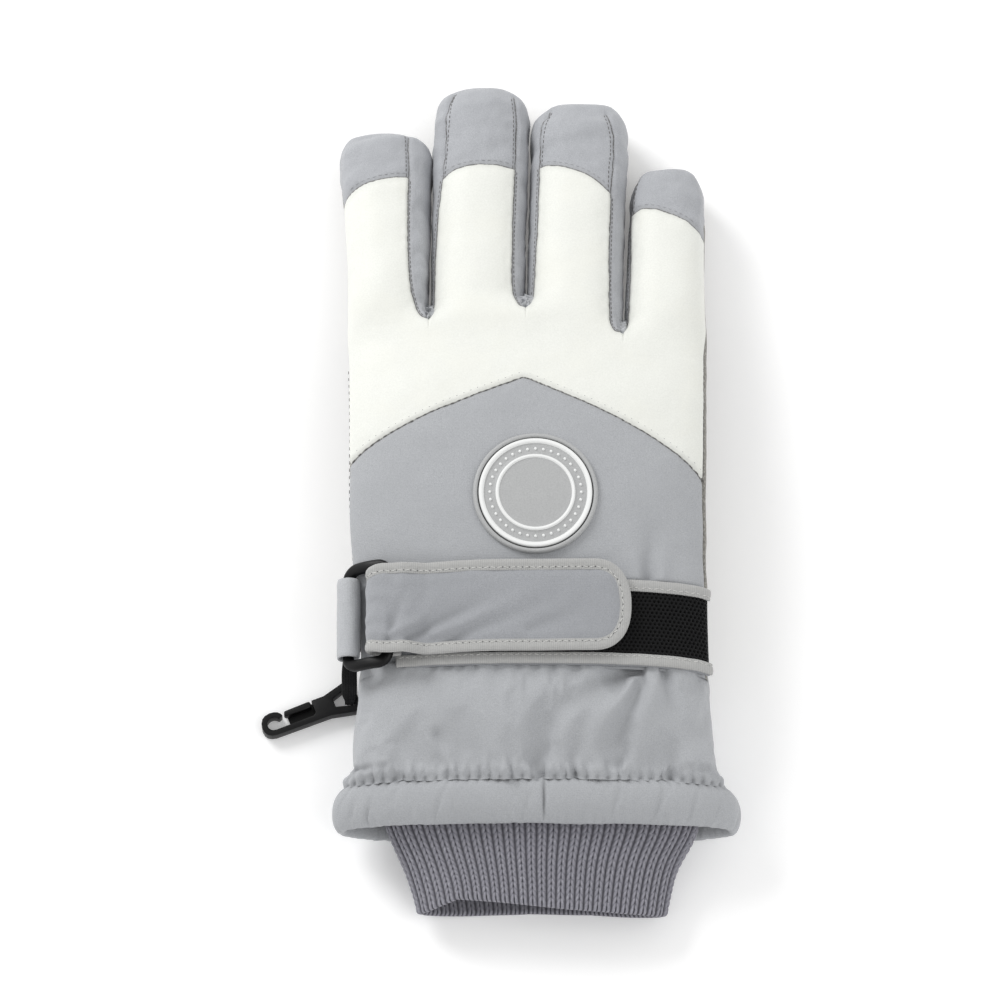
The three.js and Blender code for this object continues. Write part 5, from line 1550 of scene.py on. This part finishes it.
# ------------------------------------------------------------------ webbing loop and clip
def webbing():
    # its upper end runs on into the side seam, under the foot of the ring's tab
    pts = [(-54.6, -55.6, 24.4), (-56.6, -56.3, 22.4), (-58.8, -57.6, 18.4), (-60.0, -60.2, 12.6), (-60.5, -63.2, 8.6), (-60.5, -66.4, 6.9), (-60.5, -69.4, 6.5), (-60.4, -71.6, 5.6), (-60.4, -72.4, 3.4)]
    C = smooth_line(pts, 14)
    t = np.linspace(0, 1, len(C))
    up = np.cross(np.gradient(C, axis=0), np.array([-1.0, 0, 0]))
    up = np.where(up[:, 2:3] < 0, -up, up) if up[:, 2].mean() < 0 else up
    G, side, upn = tube_along(C, up, 2.6, 0.62, 28, 3.4)
    # the tape draws in where it passes through the eye
    rel = ((G - C[:, None]) * side[:, None]).sum(-1)
    draw = 0.36 * sm(0.745, 0.925, np.linspace(0, 1, len(C)))
    G = G - side[:, None] * (rel * draw[:, None])[..., None]
    # herringbone ribs across the tape
    rel = ((G - C[:, None]) * side[:, None]).sum(-1)
    s = np.linspace(0, 1, len(C)) * np.linalg.norm(np.diff(C, axis=0), axis=1).sum()
    hb = 0.10 * np.sin(2 * np.pi * (s[:, None] + 0.8 * np.abs(rel)) / 1.1)
    G = G + upn[:, None] * (hb * np.sign(((G - C[:, None]) * upn[:, None]).sum(-1)))[..., None]
    m = Mesh("clip_webbing_tape")
    m.grid(G, True, True, True, rest=G.copy())
    o = m.build([M_WEB])
    return piece(o, "hand", ("clip_webbing",))

web = webbing()

def bevelled(node, name, width, body):
    """The node's own shape with moulded, rounded edges."""
    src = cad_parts[node]
    bm = bmesh.new()
    bm.from_mesh(src.data)
    bmesh.ops.remove_doubles(bm, verts=bm.verts, dist=1e-6)
    bmesh.ops.dissolve_limit(bm, angle_limit=math.radians(1.5), verts=bm.verts, edges=bm.edges)
    edges = [e for e in bm.edges if len(e.link_faces) == 2 and e.calc_face_angle(0) > math.radians(50)]
    bmesh.ops.bevel(bm, geom=edges, offset=width, segments=3, profile=0.5, affect="EDGES", clamp_overlap=True)
    bmesh.ops.triangulate(bm, faces=[f for f in bm.faces if len(f.verts) > 4])
    if node == "clip_body":
        # thin moulded web between the shank and the gate
        out = [(8.6, 1.6), (21.8, 1.6), (21.8, -1.6), (21.0, -3.0), (10.0, -3.4), (7.2, -2.6), (6.4, 0.2)]
        ca, sa = math.cos(math.radians(201)), math.sin(math.radians(201))
        lo, hi = [], []
        for x_, y_ in out:
            wx, wy = -60.4 + x_ * ca - y_ * sa, -70.2 + x_ * sa + y_ * ca
            lo.append(bm.verts.new(tuple(W((wx, wy, 0.28)))))
            hi.append(bm.verts.new(tuple(W((wx, wy, 0.66)))))
        bm.faces.new(hi)
        bm.faces.new(lo[::-1])
        for i_ in range(len(out)):
            j_ = (i_ + 1) % len(out)
            bm.faces.new((lo[i_], lo[j_], hi[j_], hi[i_]))
        bmesh.ops.recalc_face_normals(bm, faces=bm.faces)
    me = bpy.data.meshes.new(name)
    bm.to_mesh(me)
    bm.free()
    co = np.zeros(len(me.vertices) * 3)
    me.vertices.foreach_get("co", co)
    co = co.reshape(-1, 3) * 1000
    co[:, 0] -= 9.85
    a = me.attributes.new("rest", "FLOAT_VECTOR", "POINT")
    a.data.foreach_set("vector", co.astype(np.float32).ravel())
    me.polygons.foreach_set("use_smooth", np.full(len(me.polygons), True))
    if hasattr(me, "set_sharp_from_angle"):
        me.set_sharp_from_angle(angle=math.radians(38))
    me.materials.append(M_PLAS)
    o = bpy.data.objects.new(name, me)
    bpy.context.scene.collection.objects.link(o)
    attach(o, body)
    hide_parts(node)
    return o

clip_b = bevelled("clip_body", "clip_moulding", 0.00055, "clip")
clip_g = bevelled("clip_gate", "clip_gate_moulding", 0.0004, "clip_gate")

# ------------------------------------------------------------------ anything left from the frame gets a real finish
left = {}
for n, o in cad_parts.items():
    if not o.hide_render:
        left[n] = 1
        for i in range(len(o.material_slots)):
            o.material_slots[i].material = M_PLAS
print("CAD nodes still shown:", sorted(left))

# ------------------------------------------------------------------ floor, light, camera
def stage():
    me = bpy.data.meshes.new("floor")
    me.from_pydata([(-3, -3, 0), (3, -3, 0), (3, 3, 0), (-3, 3, 0)], [], [(0, 1, 2, 3)])
    o = bpy.data.objects.new("floor", me)
    bpy.context.scene.collection.objects.link(o)
    s = Mat("Floor_white", (250, 250, 250), 0.9, Specular_IOR_Level=0.1, Emission_Color=(1, 1, 1, 1), Emission_Strength=0.15)
    me.materials.append(s.m)

stage()
sc = bpy.context.scene
world = bpy.data.worlds.new("Studio")
sc.world = world
world.use_nodes = True
world.node_tree.nodes["Background"].inputs[0].default_value = (1, 1, 1, 1)
world.node_tree.nodes["Background"].inputs[1].default_value = 0.68
sc.view_settings.view_transform = "Standard"

def area(name, loc, target, size, power):
    L = bpy.data.lights.new(name, "AREA")
    L.shape = "RECTANGLE"
    L.size, L.size_y = size
    L.energy = power
    o = bpy.data.objects.new(name, L)
    sc.collection.objects.link(o)
    from mathutils import Vector
    o.location = loc
    o.rotation_euler = (Vector(target) - Vector(loc)).to_track_quat("-Z", "Y").to_euler()

area("key", (-0.95, 0.95, 0.95), (0, 0, 0), (0.7, 0.7), 13.5)
area("fill", (0.9, -0.5, 1.1), (0, 0, 0), (1.2, 1.2), 5.0)

def camera():
    from mathutils import Vector
    c = bpy.data.cameras.new("photo_view")
    o = bpy.data.objects.new("photo_view", c)
    sc.collection.objects.link(o)
    el = math.radians(70)
    t = Vector((0.0, -0.004, 0.016))
    D = 2.6
    o.location = t + Vector((0, -math.cos(el), math.sin(el))) * D
    o.rotation_euler = (t - o.location).to_track_quat("-Z", "Y").to_euler()
    c.sensor_width = 36
    c.lens = 36 * D / 0.338
    c.clip_end = 20
    sc.camera = o

camera()
